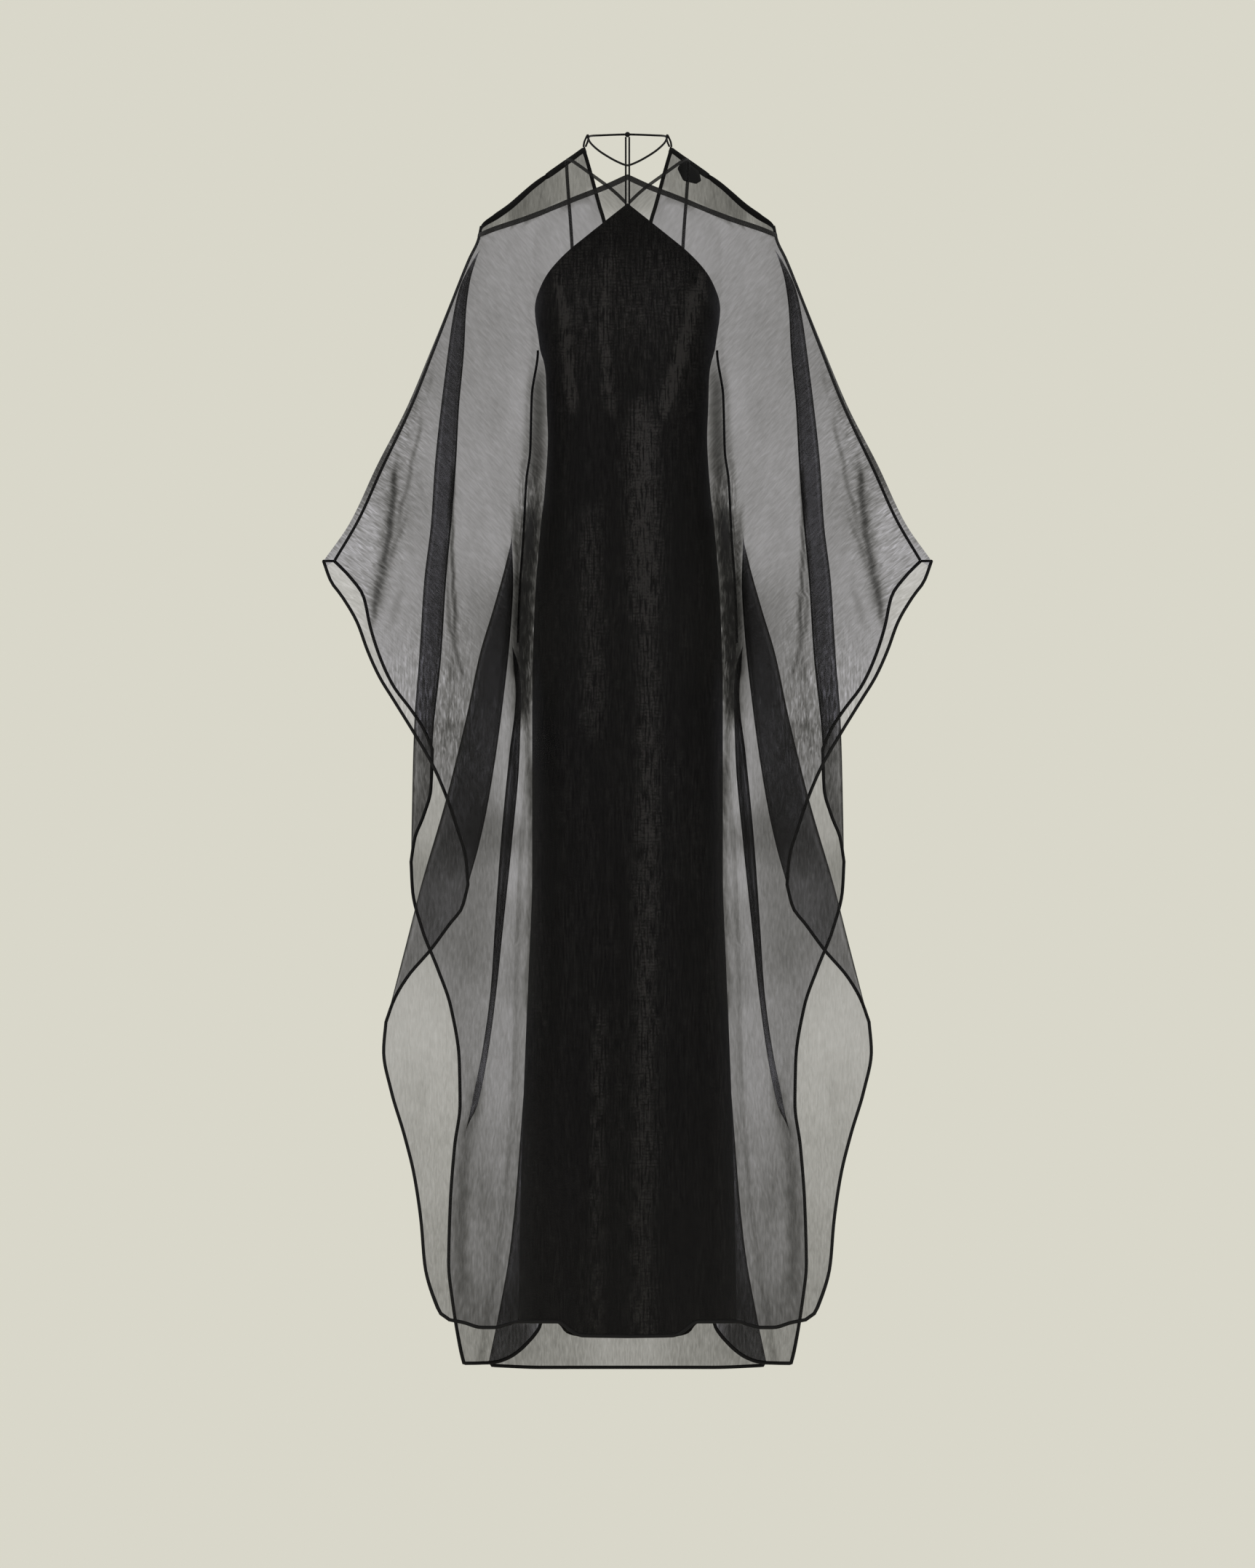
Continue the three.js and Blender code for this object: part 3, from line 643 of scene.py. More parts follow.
FRONT_DENSITY = SHARED_DENSITY + [
    ("neckline centre", 0, 80, 1.15),
    ("below the neckline", 45, 112, 0.85),
    ("chest", 97, 151, 0.88),
    ("shoulder", 155, 152, 0.88),
    ("side of the chest", 135, 232, 0.9),
    ("sleeve tip", 372, 550, 0.62),
    ("cuff tip", 381, 574, 0.3),
    ("cuff", 359, 612, 0.75),
    ("lower cuff", 323, 695, 0.8),
    ("outer hip", 300, 850, 0.65),
    ("outer thigh", 290, 1050, 1.2),
    ("outer calf", 275, 1160, 0.95),
    ("outer shin", 250, 1248, 1.2),
    ("outer ankle", 254, 1343, 1.45),
    ("outside the back's edge", 249, 1438, 1.75),
    ("hem", 150, 1560, 1.7),
    ("outer hem", 240, 1514, 2.0),
    ("centre hem", 0, 1560, 1.6),
]
# Inside the neckline the back yoke is given two to three times the density of flat cloth: painted shade on
# the inside of the back, darkest over the shoulder.
BACK_YOKE_DENSITY_AND_SHADE = [
    ("nape", 64, 38, 2.3),
    ("beside the nape", 75, 50, 2.0),
    ("upper back", 97, 66, 2.4),
    ("towards the shoulder", 121, 80, 2.85),
    ("shoulder blade", 135, 85, 3.2),
    ("over the shoulder", 149, 98, 3.2),
    ("past the shoulder", 164, 109, 1.8),
    ("shoulder point", 178, 116, 2.5),
]
BACK_DENSITY = SHARED_DENSITY + [
    ("between the shoulders", 45, 112, 0.9),
    ("shoulder blade", 97, 151, 0.85),
    ("shoulder", 155, 152, 0.9),
    ("side of the back", 135, 232, 0.85),
    ("sleeve tip", 372, 550, 0.8),
    ("cuff", 330, 640, 0.76),
    ("outer hip", 275, 830, 0.65),
    ("outer thigh", 258, 895, 1.4),
    ("outer knee", 272, 965, 2.25),
    ("hem", 110, 1592, 2.2),
    ("outer hem", 205, 1590, 2.1),
    ("centre hem", 0, 1592, 1.6),
]


DROP_COUNTS = 0.5
NEAREST_COUNT = 1.6
YOKE_BLUR = 60


def density_at(table, reach, drop, blur=400):
    """Blends the table's places by distance, the nearest ones most."""
    total = np.zeros_like(reach)
    weight = np.zeros_like(reach)
    for _, spot_reach, spot_drop, value in table:
        distance = (reach - spot_reach) ** 2 + DROP_COUNTS * (drop - spot_drop) ** 2 + blur
        near = 1 / distance**NEAREST_COUNT
        total += near * value
        weight += near
    return total / weight


# %% [markdown]
# ## Where the crinkles run
# The crinkles of the cloth are fine, nearly straight creases. They hang straight down in the skirt, slant
# over the chest and shoulders, and run across the arm on the outer sleeves. Masks say where each of these
# holds.

# %% Masks for the crinkles
def across_the_arm(reach, drop):
    inner_side = 250 + 0.25 * np.clip(drop - 400, 0, 400)
    return smooth(inner_side - 30, inner_side + 50, reach) * (1 - smooth(640, 800, drop))


def beside_the_slip(reach, drop):
    """1 in the narrow gathered strip between the slip and the inner pleat."""
    across = smooth(108, 114, reach) * (1 - smooth(136, 148, reach))
    return across * smooth(400, 480, drop) * (1 - smooth(720, 820, drop))


def slanting(reach, drop):
    """1 where the crinkles slant over the chest, 0 where they hang straight down."""
    over_the_yoke = smooth(-2, 4, drop - front["top_edge"](reach))
    return (1 - smooth(560, 760, drop)) * over_the_yoke * (1 - beside_the_slip(reach, drop))


def crumpling(reach, drop):
    """How strongly the cloth is crumpled: most on the outer sleeves and where it is gathered."""
    sleeve = across_the_arm(reach, drop)
    strip = 1.35 * beside_the_slip(reach, drop)
    between = smooth(560, 720, drop) * (1 - smooth(760, 900, drop)) * smooth(180, 230, reach)
    skirt = smooth(1000, 1350, drop) * 0.12
    return np.maximum.reduce([sleeve, between, skirt, strip])


# %% Build the two panels' surfaces
def front_density_at(reach, drop):
    """The front panel's density, closer where it hangs from the peak of the neckline."""
    peak = (1 - smooth(26, 60, reach)) * (1 - smooth(82, 118, drop))
    return density_at(FRONT_DENSITY, reach, drop) + 0.9 * peak


def back_density_at(reach, drop):
    """The back panel's density: a yoke above the front's neckline made denser as painted shade, and the
    rest below it.
    """
    below = smooth(2.0, 4.5, drop - front["top_edge"](reach))
    yoke = density_at(BACK_YOKE_DENSITY_AND_SHADE, reach, drop, YOKE_BLUR)
    return mix(yoke, density_at(BACK_DENSITY, reach, drop), below)


MOST_SLOPE = 2.6
LEAST_DENSITY = 0.1


def make_panel(name, grid, density_of, extra):
    """Both halves of a panel as one open sheet, with its density, masks and flat coordinates."""
    points, faces, first = weld([(grid, False), (mirrored(grid), True)])
    piece = new_piece(name, points, faces)
    mesh = piece.data
    normals = np.empty(len(mesh.vertices) * 3, np.float32)
    mesh.vertices.foreach_get("normal", normals)
    facing = np.abs(normals.reshape(-1, 3)[:, 1])
    reach, drop = np.abs(points[:, 0]), -points[:, 2]
    slope = np.clip(1 / np.maximum(facing, 0.3), 1, MOST_SLOPE) ** mix(0.15, 0.55, smooth(240, 420, drop))
    gathers = np.concatenate([extra.ravel(), extra.ravel()])[first]
    density = (density_of(reach, drop) + gathers) * slope
    set_number(piece, "thread_density", np.maximum(density, LEAST_DENSITY))
    set_number(piece, "across_arm", across_the_arm(reach, drop))
    set_number(piece, "crumple", crumpling(reach, drop) / (1 + np.maximum(gathers, 0)))
    set_number(piece, "slanting", slanting(reach, drop))
    set_uv(piece, reach * MM, drop * MM)
    return piece


front_panel = make_panel("front_panel_cloth", front_grid, front_density_at, front_extra)
back_panel = make_panel("back_panel_cloth", back_grid, back_density_at, back_extra)
for panel in (front_panel, back_panel):
    print(panel.name, len(panel.data.vertices), "points", len(panel.data.polygons), "faces")

# %% [markdown]
# ## The sheer cloth's material
# Organza is see-through because of the gaps between its threads, so the material is a black thread shader
# with an alpha: the share of a spot that thread covers. Two layers then darken each other as real ones
# do. A little of the light that gets through is tinted, and noise stretched along the crinkles makes fine
# streaks in both the alpha and the bump.

# %% Small helpers for material nodes
class Finish:
    """A material's node tree with short words for the nodes used here."""

    def __init__(self, name):
        self.material = bpy.data.materials.new(name)
        self.material.use_nodes = True
        self.tree = self.material.node_tree
        self.shader = self.tree.nodes["Principled BSDF"]
        self.column = 0

    def node(self, kind, **settings):
        node = self.tree.nodes.new(kind)
        self.column += 1
        node.location = (-260 * (self.column % 7) - 300, -220 * (self.column // 7))
        for key, value in settings.items():
            setattr(node, key, value)
        return node

    def link(self, start, end):
        self.tree.links.new(start, end)

    def feed(self, socket, value):
        if isinstance(value, bpy.types.NodeSocket):
            self.link(value, socket)
        else:
            socket.default_value = value

    def math(self, operation, a, b=0.0, clamp=False):
        node = self.node("ShaderNodeMath", operation=operation, use_clamp=clamp)
        self.feed(node.inputs[0], a)
        self.feed(node.inputs[1], b)
        return node.outputs[0]

    def number(self, name):
        return self.node("ShaderNodeAttribute", attribute_name=name).outputs["Fac"]

    def stretched_noise(self, scale, detail, source="UV", offset=(0, 0, 0)):
        """Noise whose grain is 1/scale metres long each way."""
        place = self.node("ShaderNodeTexCoord").outputs[source]
        return self.noise_at(place, scale, detail, offset)

    def noise_at(self, vector, scale, detail, offset, wander=0.0):
        """The same noise at a place that is already worked out, such as a turned one."""
        mapping = self.node("ShaderNodeMapping")
        mapping.inputs["Scale"].default_value = scale
        mapping.inputs["Location"].default_value = offset
        self.link(vector, mapping.inputs["Vector"])
        noise = self.node("ShaderNodeTexNoise")
        noise.inputs["Scale"].default_value = 1.0
        noise.inputs["Detail"].default_value = detail
        noise.inputs["Distortion"].default_value = wander
        self.link(mapping.outputs["Vector"], noise.inputs["Vector"])
        return noise.outputs["Fac"]

    def blend(self, a, b, share):
        node = self.node("ShaderNodeMix", data_type="FLOAT")
        self.feed(node.inputs["Factor"], share)
        self.feed(node.inputs["A"], a)
        self.feed(node.inputs["B"], b)
        return node.outputs["Result"]

    def ramp(self, value, low, high, to_low=0.0, to_high=1.0):
        node = self.node("ShaderNodeMapRange")
        limits = {"From Min": low, "From Max": high, "To Min": to_low, "To Max": to_high}
        for socket, number in limits.items():
            node.inputs[socket].default_value = number
        self.link(value, node.inputs["Value"])
        return node.outputs["Result"]

    def bump(self, height, strength, distance):
        node = self.node("ShaderNodeBump")
        node.inputs["Strength"].default_value = strength
        node.inputs["Distance"].default_value = distance
        self.link(height, node.inputs["Height"])
        self.link(node.outputs["Normal"], self.shader.inputs["Normal"])

    def set(self, **values):
        for key, value in values.items():
            self.shader.inputs[key.replace("_", " ")].default_value = value


# %% Sheer black organza
FLAT_CLOTH_LETS_THROUGH = 0.60
MOST_TINTED_SHARE = 0.667
TINTED_GLOW = (0.80, 0.80, 0.96)
TINTED_BRIGHTNESS = 0.83

organza = Finish("sheer_organza")
organza.set(Base_Color=(0.010, 0.0096, 0.0088, 1), Roughness=0.7, Sheen_Weight=0.03, Sheen_Roughness=0.45)
organza.set(Specular_IOR_Level=0.12)


def crinkles(angle, offset):
    """Fine streaks along one direction of the cloth, as a number around a half."""
    turned = organza.node("ShaderNodeVectorRotate", rotation_type="Z_AXIS")
    turned.inputs["Angle"].default_value = math.radians(angle)
    organza.link(organza.node("ShaderNodeTexCoord").outputs["UV"], turned.inputs["Vector"])
    fine = organza.noise_at(turned.outputs["Vector"], (430, 72, 1), 2, offset, 0.6)
    broad = organza.noise_at(turned.outputs["Vector"], (150, 30, 1), 3, (offset[1], offset[0], 0), 0.5)
    return organza.math("ADD", organza.math("MULTIPLY", fine, 0.78), organza.math("MULTIPLY", broad, 0.22))


ARM_ANGLE = -55
CHEST_ANGLE = -42
hanging_crinkles = crinkles(0, (3, 1, 0))
arm_crinkles = crinkles(ARM_ANGLE, (9, 4, 0))
chest_crinkles = crinkles(CHEST_ANGLE, (5, 8, 0))
crinkle = organza.blend(hanging_crinkles, chest_crinkles, organza.number("slanting"))
crinkle = organza.blend(crinkle, arm_crinkles, organza.number("across_arm"))
cloudy = organza.stretched_noise((22, 9, 1), detail=2, offset=(7, 5, 0))
even = organza.ramp(crinkle, 0.3, 0.7, 0.83, 1.17)
crumpled = organza.ramp(crinkle, 0.32, 0.68, 0.44, 1.58)
streaks = organza.blend(even, crumpled, organza.number("crumple"))
clouds = organza.ramp(cloudy, 0.3, 0.7, 0.94, 1.06)
thread_cover = organza.math("MULTIPLY", organza.number("thread_density"), streaks)
thread_cover = organza.math("MULTIPLY", thread_cover, clouds)
see_through = organza.math("POWER", FLAT_CLOTH_LETS_THROUGH, thread_cover)
tinted_share = organza.math("MULTIPLY", organza.math("POWER", see_through, 2.0), MOST_TINTED_SHARE)
tinted_light = organza.math("MULTIPLY", tinted_share, TINTED_BRIGHTNESS)
plain_share = organza.math("SUBTRACT", see_through, tinted_light)
plain_share = organza.math("DIVIDE", plain_share, organza.math("SUBTRACT", 1.0, tinted_share))
organza.link(organza.math("SUBTRACT", 1.0, plain_share, clamp=True), organza.shader.inputs["Alpha"])
organza.bump(crinkle, 0.5, 0.0012)

# The gaps between the threads let through a little more blue than the rest of the light.
tinted = organza.node("ShaderNodeBsdfTransparent")
tinted.inputs["Color"].default_value = (*TINTED_GLOW, 1)
both = organza.node("ShaderNodeMixShader")
organza.link(tinted_share, both.inputs["Fac"])
organza.link(organza.shader.outputs["BSDF"], both.inputs[1])
organza.link(tinted.outputs["BSDF"], both.inputs[2])
organza.link(both.outputs["Shader"], organza.tree.nodes["Material Output"].inputs["Surface"])
for panel in (front_panel, back_panel):
    panel.data.materials.append(organza.material)

# %% [markdown]
# ## The slip
# The slip is opaque, with a soft shine, and follows the body: level ellipses from a halter neckline down
# to the hem. The front and the back are separate sheets that meet at the side seams.

# %% Slip sizes
slip_width = curve([
    [90, 121], [200, 122], [222, 122], [241, 120.3], [260, 117], [281, 114], [298, 108.8], [317, 106.5],
    [355, 105.5], [393, 104], [469, 108.5], [507, 113], [621, 121.5], [735, 124.5], [963, 124.5],
    [1077, 128.5], [1248, 135.5], [1438, 141], [1569, 143],
])
slip_front_depth = curve([
    [90, 79], [127, 93], [170, 110], [215, 118], [260, 114], [330, 103], [420, 97], [520, 103],
    [620, 112], [1000, 113], [1569, 117],
])
slip_back_depth = curve([
    [180, 96], [270, 96], [330, 90], [394, 84], [470, 88], [560, 102], [640, 113], [1000, 117],
    [1569, 123],
])
slip_front_top = curve([
    [0, 90], [0.1, 105], [0.2, 119.8], [0.33, 138], [0.4, 147], [0.53, 164.5], [0.67, 184], [0.79, 203],
    [0.87, 215], [0.94, 230], [1, 255],
])
slip_front_hem = curve([
    [0, 1569], [0.2, 1568.6], [0.31, 1567], [0.384, 1562.5], [0.41, 1556], [0.437, 1551], [0.47, 1549.5],
    [1, 1549.5],
])
SLIP_BACK_TOP = 272
SLIP_BACK_HEM = 1550
SIDE_SEAM_GAP = 0.15


def slip_grid(depth, side, top, hem):
    """Rows down the slip, each from the centre to the side seam."""
    parts = np.linspace(0, 1, 49)
    levels = np.concatenate([np.linspace(0, 0.3, 60, endpoint=False), np.linspace(0.3, 1, 90)])
    drop = mix(top(parts)[None, :], hem(parts)[None, :], levels[:, None])
    turn = parts[None, :] * math.pi / 2
    out = np.maximum(depth(drop) * np.cos(turn), SIDE_SEAM_GAP)
    return np.stack([slip_width(drop) * np.sin(turn), side * out, -drop], axis=2)


slip_front_grid = slip_grid(slip_front_depth, -1, slip_front_top, slip_front_hem)
slip_back_grid = slip_grid(
    slip_back_depth, 1, lambda part: SLIP_BACK_TOP + 0 * part, lambda part: SLIP_BACK_HEM + 0 * part
)

# %% Highlights painted into the slip's colour
# Streaks of painted highlight on the slip, where its satin face would catch the lamps.
PAINTED_HIGHLIGHT_STREAKS = [
    # line of [x, drop], half-width, strength
    ([[-95, 165], [-84, 232], [-70, 375]], 6.0, 1.7),
    ([[-24, 140], [-30, 260], [-20, 380]], 8.0, 0.8),
    ([[102, 170], [83, 232], [60, 320], [38, 385]], 8.0, 1.7),
    ([[18, 330], [21, 480], [23, 660]], 17.0, 1.0),
    ([[27, 620], [26, 1000], [20, 1300], [19, 1590]], 14.0, 0.6),
    ([[-48, 470], [-48, 600], [-46, 800]], 15.0, 0.4),
    ([[-33, 1120], [-38, 1350], [-38, 1590]], 11.0, 0.32),
]


def painted_highlight_at(x, drop):
    """How strongly a highlight is painted into the cloth's colour, from 0 to 1."""
    shine = np.zeros(x.shape)
    for line, half_width, strength in PAINTED_HIGHLIGHT_STREAKS:
        shine = np.maximum(shine, strength * near_line(x, drop, line, half_width))
    # A broad painted highlight over the bust.
    bust = np.exp(-(((drop - 215) / 75) ** 2)) * (1 - smooth(70, 118, np.abs(x)))
    return np.maximum(shine, 0.28 * bust) * (1 - smooth(95, 128, np.abs(x)))


slip_pieces = []
for name, grid in (("slip_front_cloth", slip_front_grid), ("slip_back_cloth", slip_back_grid)):
    points, faces, _ = weld([(grid, False), (mirrored(grid), True)])
    piece = new_piece(name, points, faces)
    set_uv(piece, points[:, 0] * MM, -points[:, 2] * MM)
    set_number(piece, "shine", painted_highlight_at(points[:, 0], -points[:, 2]))
    set_number(piece, "depth", smooth(600, 1250, -points[:, 2]))
    slip_pieces.append(piece)
slip_front, slip_back = slip_pieces

# %% Opaque slip cloth
SLIP_BLACK = (0.0042, 0.0041, 0.0037)
SLIP_DEEP_BLACK = (0.0004, 0.0004, 0.0004)
# The paler colour that the painted highlight mixes into the slip's black.
SLIP_PAINTED_HIGHLIGHT = (0.062, 0.058, 0.049)
crepe = Finish("satin_backed_crepe")
crepe.set(Roughness=0.5, Specular_IOR_Level=0.04)
slub = crepe.stretched_noise((400, 40, 1), detail=3)
weft = crepe.stretched_noise((60, 420, 1), detail=2, offset=(5, 1, 0))
grain = crepe.stretched_noise((430, 380, 1), detail=1, offset=(2, 2, 0))
slubs = crepe.ramp(slub, 0.36, 0.64, 0.0, 1.7)
streaky = crepe.math("MULTIPLY", slubs, crepe.ramp(weft, 0.3, 0.7, 0.4, 1.6))
streaky = crepe.math("MULTIPLY", streaky, crepe.ramp(grain, 0.3, 0.7, 0.35, 1.65))
broad = crepe.stretched_noise((55, 5, 1), detail=2, offset=(3, 8, 0))
faint_painted_sheen = crepe.ramp(broad, 0.40, 0.66, 0.05, 0.16)
# The glint mixes the slip's black towards the highlight colour: a painted highlight and sheen, shaped by
# the slubs, weft and grain. It also lowers the roughness there.
glint = crepe.math("MULTIPLY", crepe.math("ADD", crepe.number("shine"), faint_painted_sheen), streaky, clamp=True)
tone = crepe.node("ShaderNodeMix", data_type="RGBA")
crepe.link(glint, tone.inputs["Factor"])
black = crepe.node("ShaderNodeMix", data_type="RGBA")
crepe.link(crepe.number("depth"), black.inputs["Factor"])
black.inputs["A"].default_value = (*SLIP_BLACK, 1)
black.inputs["B"].default_value = (*SLIP_DEEP_BLACK, 1)
crepe.link(black.outputs["Result"], tone.inputs["A"])
tone.inputs["B"].default_value = (*SLIP_PAINTED_HIGHLIGHT, 1)
crepe.link(tone.outputs["Result"], crepe.shader.inputs["Base Color"])
crepe.link(crepe.ramp(glint, 0, 1, 0.58, 0.4), crepe.shader.inputs["Roughness"])
crepe.bump(crepe.math("ADD", slub, grain), 0.35, 0.0006)
for piece in slip_pieces:
    piece.data.materials.append(crepe.material)

# %% [markdown]
# ## Bindings, hems and cords
# A thin edge needs a path and a cross-section. One helper sweeps a round or flat section along any path.

# %% Sweep a section along a path
def tidy_path(points, least=0.4):
    """The path without points that fall together."""
    points = np.asarray(points, float)
    kept = [points[0]]
    for point in points[1:]:
        if np.linalg.norm(point - kept[-1]) > least:
            kept.append(point)
    return np.array(kept)


def smooth_path(points, step):
    """A path through a few points with a new point every few millimetres."""
    points = np.asarray(points, float)
    gaps = np.linalg.norm(np.diff(points, axis=0), axis=1)
    length = np.concatenate([[0], np.cumsum(gaps**0.5)])
    fine = np.linspace(0, length[-1], max(2, int(gaps.sum() / step)))
    before = points[0] * 2 - points[1]
    after = points[-1] * 2 - points[-2]
    padded = np.vstack([before, points, after])
    tangent = (padded[2:] - padded[:-2]) / 2
    out = []
    for t in fine:
        i = min(np.searchsorted(length, t, side="right") - 1, len(points) - 2)
        u = (t - length[i]) / (length[i + 1] - length[i])
        a = (1 + 2 * u) * (1 - u) ** 2 * points[i] + u * u * (3 - 2 * u) * points[i + 1]
        out.append(a + u * (1 - u) ** 2 * tangent[i] - u * u * (1 - u) * tangent[i + 1])
    return np.array(out)


def sweep(path, radius, sides=8, across=None, flat=1.0):
    """Points and faces of a closed tube along a path. A flat tube is wide along "across"."""
    path = np.asarray(path, float)
    along = np.gradient(path, axis=0)
    along /= np.linalg.norm(along, axis=1, keepdims=True)
    if across is None:
        # The guide starts in a direction that no cord runs along, and is carried from point to point.
        guide = np.array([0.31, 0.9, 0.3])
        across = np.empty_like(path)
        for i, direction in enumerate(along):
            guide = guide - direction * guide.dot(direction)
            guide = guide / np.linalg.norm(guide)
            across[i] = guide
    across = across - along * np.sum(across * along, axis=1, keepdims=True)
    across /= np.maximum(np.linalg.norm(across, axis=1, keepdims=True), 1e-9)
    other = np.cross(along, across)
    radius = np.broadcast_to(np.asarray(radius, float), (len(path),))
    angle = np.linspace(0, 2 * math.pi, sides, endpoint=False)
    ring = across[:, None] * np.cos(angle)[None, :, None]
    ring = ring + flat * other[:, None] * np.sin(angle)[None, :, None]
    points = (path[:, None] + radius[:, None, None] * ring).reshape(-1, 3)
    faces = []
    for i in range(len(path) - 1):
        for k in range(sides):
            n = (k + 1) % sides
            faces.append([i * sides + k, i * sides + n, (i + 1) * sides + n, (i + 1) * sides + k])
    faces.append(list(range(sides))[::-1])
    faces.append([(len(path) - 1) * sides + k for k in range(sides)])
    return points, faces


def join_parts(parts):
    """One list of points and faces from several."""
    points, faces, offset = [], [], 0
    for part_points, part_faces in parts:
        points.append(part_points)
        faces += [[v + offset for v in face] for face in part_faces]
        offset += len(part_points)
    return np.concatenate(points), faces


# %% Trim materials
def trim_finish(name, colour, roughness, ribs):
    """Matt black trim with fine ribs along and across it."""
    finish = Finish(name)
    finish.set(Base_Color=(*colour, 1), Roughness=roughness, Specular_IOR_Level=0.2)
    rib = finish.stretched_noise(ribs, detail=2, source="Object")
    uneven = finish.ramp(rib, 0.3, 0.7, roughness - 0.08, roughness + 0.1)
    finish.link(uneven, finish.shader.inputs["Roughness"])
    finish.bump(rib, 0.5, 0.0005)
    return finish.material


binding_cloth = trim_finish("folded_binding", (0.006, 0.0058, 0.0052), 0.7, (700, 700, 700))
rolled_hem_cloth = trim_finish("rolled_hem", (0.005, 0.0048, 0.0045), 0.7, (900, 900, 900))
rouleau = trim_finish("rouleau_cord", (0.006, 0.0057, 0.005), 0.6, (1200, 1200, 400))
# The front binding is painted a lighter grey than the black of the other trims: a painted sheen of the
# light that falls on it from the front.
chevron_cloth_painted_lit = trim_finish("chevron_binding_painted_sheen", (0.016, 0.0156, 0.015), 0.7, (900, 900, 900))
chevron_cloth_painted_lit.node_tree.nodes["Principled BSDF"].inputs["Alpha"].default_value = 0.8
strap_cloth = trim_finish("slip_strap_cloth", (0.010, 0.0097, 0.0093), 0.65, (1200, 1200, 500))
strap_cloth.node_tree.nodes["Principled BSDF"].inputs["Alpha"].default_value = 0.78
sewing_thread = trim_finish("sewing_thread", (0.012, 0.0115, 0.0105), 0.5, (4000, 4000, 4000))
woven_label = trim_finish("woven_label", (0.011, 0.011, 0.0105), 0.6, (2500, 500, 2500))


# %% Bindings
def folded_strip(outer, inner, thickness=1.9):
    """A flat closed strip whose cross-section goes from the outer path to the inner one."""
    outer, inner = np.asarray(outer, float), np.asarray(inner, float)
    across = (inner - outer) / 2
    width = np.linalg.norm(across, axis=1)
    return sweep((outer + inner) / 2, width, sides=12, across=across, flat=thickness / 2 / width.mean())


def unique_places(row):
    """Indices of the stations in a row that don't fall on the one before."""
    step = np.linalg.norm(np.diff(row, axis=0), axis=1)
    return np.concatenate([[0], 1 + np.nonzero(step > 0.5)[0]])


front_top = front_section(front["top_corner"])[:-WRAP_STATIONS]
front_inner = front_section(front["top_corner"] + TOP_BINDING)[:-WRAP_STATIONS]
front_kept = unique_places(front_top)
half_top, half_inner = front_top[front_kept], front_inner[front_kept]
chevron_outer = np.vstack([mirrored(half_top)[:0:-1], half_top])
chevron_inner = np.vstack([mirrored(half_inner)[:0:-1], half_inner])
chevron_strip = folded_strip(chevron_outer, chevron_inner)
front_neck_binding = new_piece("front_neck_binding_cloth", *chevron_strip, chevron_cloth_painted_lit)

back_top = section(back, back["top_corner"])
back_inner = section(back, back["top_corner"] + TOP_BINDING)
back_kept = unique_places(back_top)
back_top, back_inner = back_top[back_kept], back_inner[back_kept]
keyhole_rows = np.linspace(back["top_corner"] + 0.5, KEYHOLE_FOOT + 100, 90)
keyhole_rows = [row for row in keyhole_rows if section(back, row)[0][0] > 0.2]
keyhole_edge = np.array([section(back, row)[0] for row in keyhole_rows])


def inwards(row, distance):
    """The point of a section a short way out from its first station."""
    points = section(back, row)
    reach = points[0][0] + distance
    y, z = (np.interp(reach, points[:20, 0], points[:20, k]) for k in (1, 2))
    return np.array([reach, y, z])


keyhole_inner = np.array([inwards(row, KEYHOLE_BINDING) for row in keyhole_rows])
BOTH_SIDES = {"left": np.array([1, 1, 1]), "right": np.array([-1, 1, 1])}
back_neck_bindings = []
for name, turn in BOTH_SIDES.items():
    top = folded_strip(back_top * turn, back_inner * turn)
    keyhole = folded_strip(keyhole_edge * turn, keyhole_inner * turn, 1.7)
    piece = new_piece(f"back_neck_binding_{name}_cloth", *join_parts([top, keyhole]), binding_cloth)
    back_neck_bindings.append(piece)

# %% [markdown]
# ## Rolled hems
# A sheer panel's free edge is rolled to a narrow cord of cloth. It runs from the sleeve's tip down the
# free edge, along the hem and up the other side, so its path is the panel grid's own border.

# %% Rolled hems and seams
def border(grid, rows, last):
    """The free edge of a panel from the sleeve tip, down and round the hem, on both sides."""
    side = [grid[i, last] for i, row in enumerate(rows) if row >= SLEEVE_TIP]
    hem = grid[-1, :last][::-1]
    half = tidy_path(np.vstack([side, hem]), 1.5)
    return np.vstack([half, mirrored(half)[-2::-1]])


SIDE_ROLL = 2.15
FOOT_ROLL = 2.4
SLEEVE_END_ROLL = 1.7
OVERARM_ROLL = 1.95
SIDE_SEAM_ROLL = 1.6


def rolled(path, hem_drop):
    """A rolled edge along a path, a little fuller along the foot."""
    return sweep(path, mix(SIDE_ROLL, FOOT_ROLL, smooth(hem_drop - 70, hem_drop - 15, -path[:, 2])))


front_border = border(front_grid, front_rows, front_grid.shape[1] - 1 - WRAP_STATIONS)
back_border = border(back_grid, back_rows, back_grid.shape[1] - 1)
sleeve_end = tidy_path(front_section(SLEEVE_TIP)[-WRAP_STATIONS - 1:], 1.0)
front_rolls = [rolled(front_border, front["hem"])]
front_rolls += [sweep(path, SLEEVE_END_ROLL) for path in (sleeve_end, mirrored(sleeve_end))]
front_hem = new_piece("front_rolled_hem", *join_parts(front_rolls), rolled_hem_cloth)
back_hem = new_piece("back_rolled_hem", *rolled(back_border, back["hem"]), rolled_hem_cloth)

seam_rows = np.linspace(back["top_corner"], SLEEVE_TIP - 1, 110)
seam_path = np.array([section(back, row)[-1] for row in seam_rows])
seam_parts = [sweep(tidy_path(path), OVERARM_ROLL, sides=6) for path in (seam_path, mirrored(seam_path))]
overarm_seams = new_piece("overarm_seams", *join_parts(seam_parts), rolled_hem_cloth)

side_rows = np.linspace(UNDERARM, GATHER, 90)
side_path = np.stack([front["side_reach"](side_rows), 0 * side_rows, -side_rows], axis=1)
side_parts = [sweep(path, SIDE_SEAM_ROLL, sides=6) for path in (side_path, mirrored(side_path))]
side_seams = new_piece("side_seams", *join_parts(side_parts), rolled_hem_cloth)

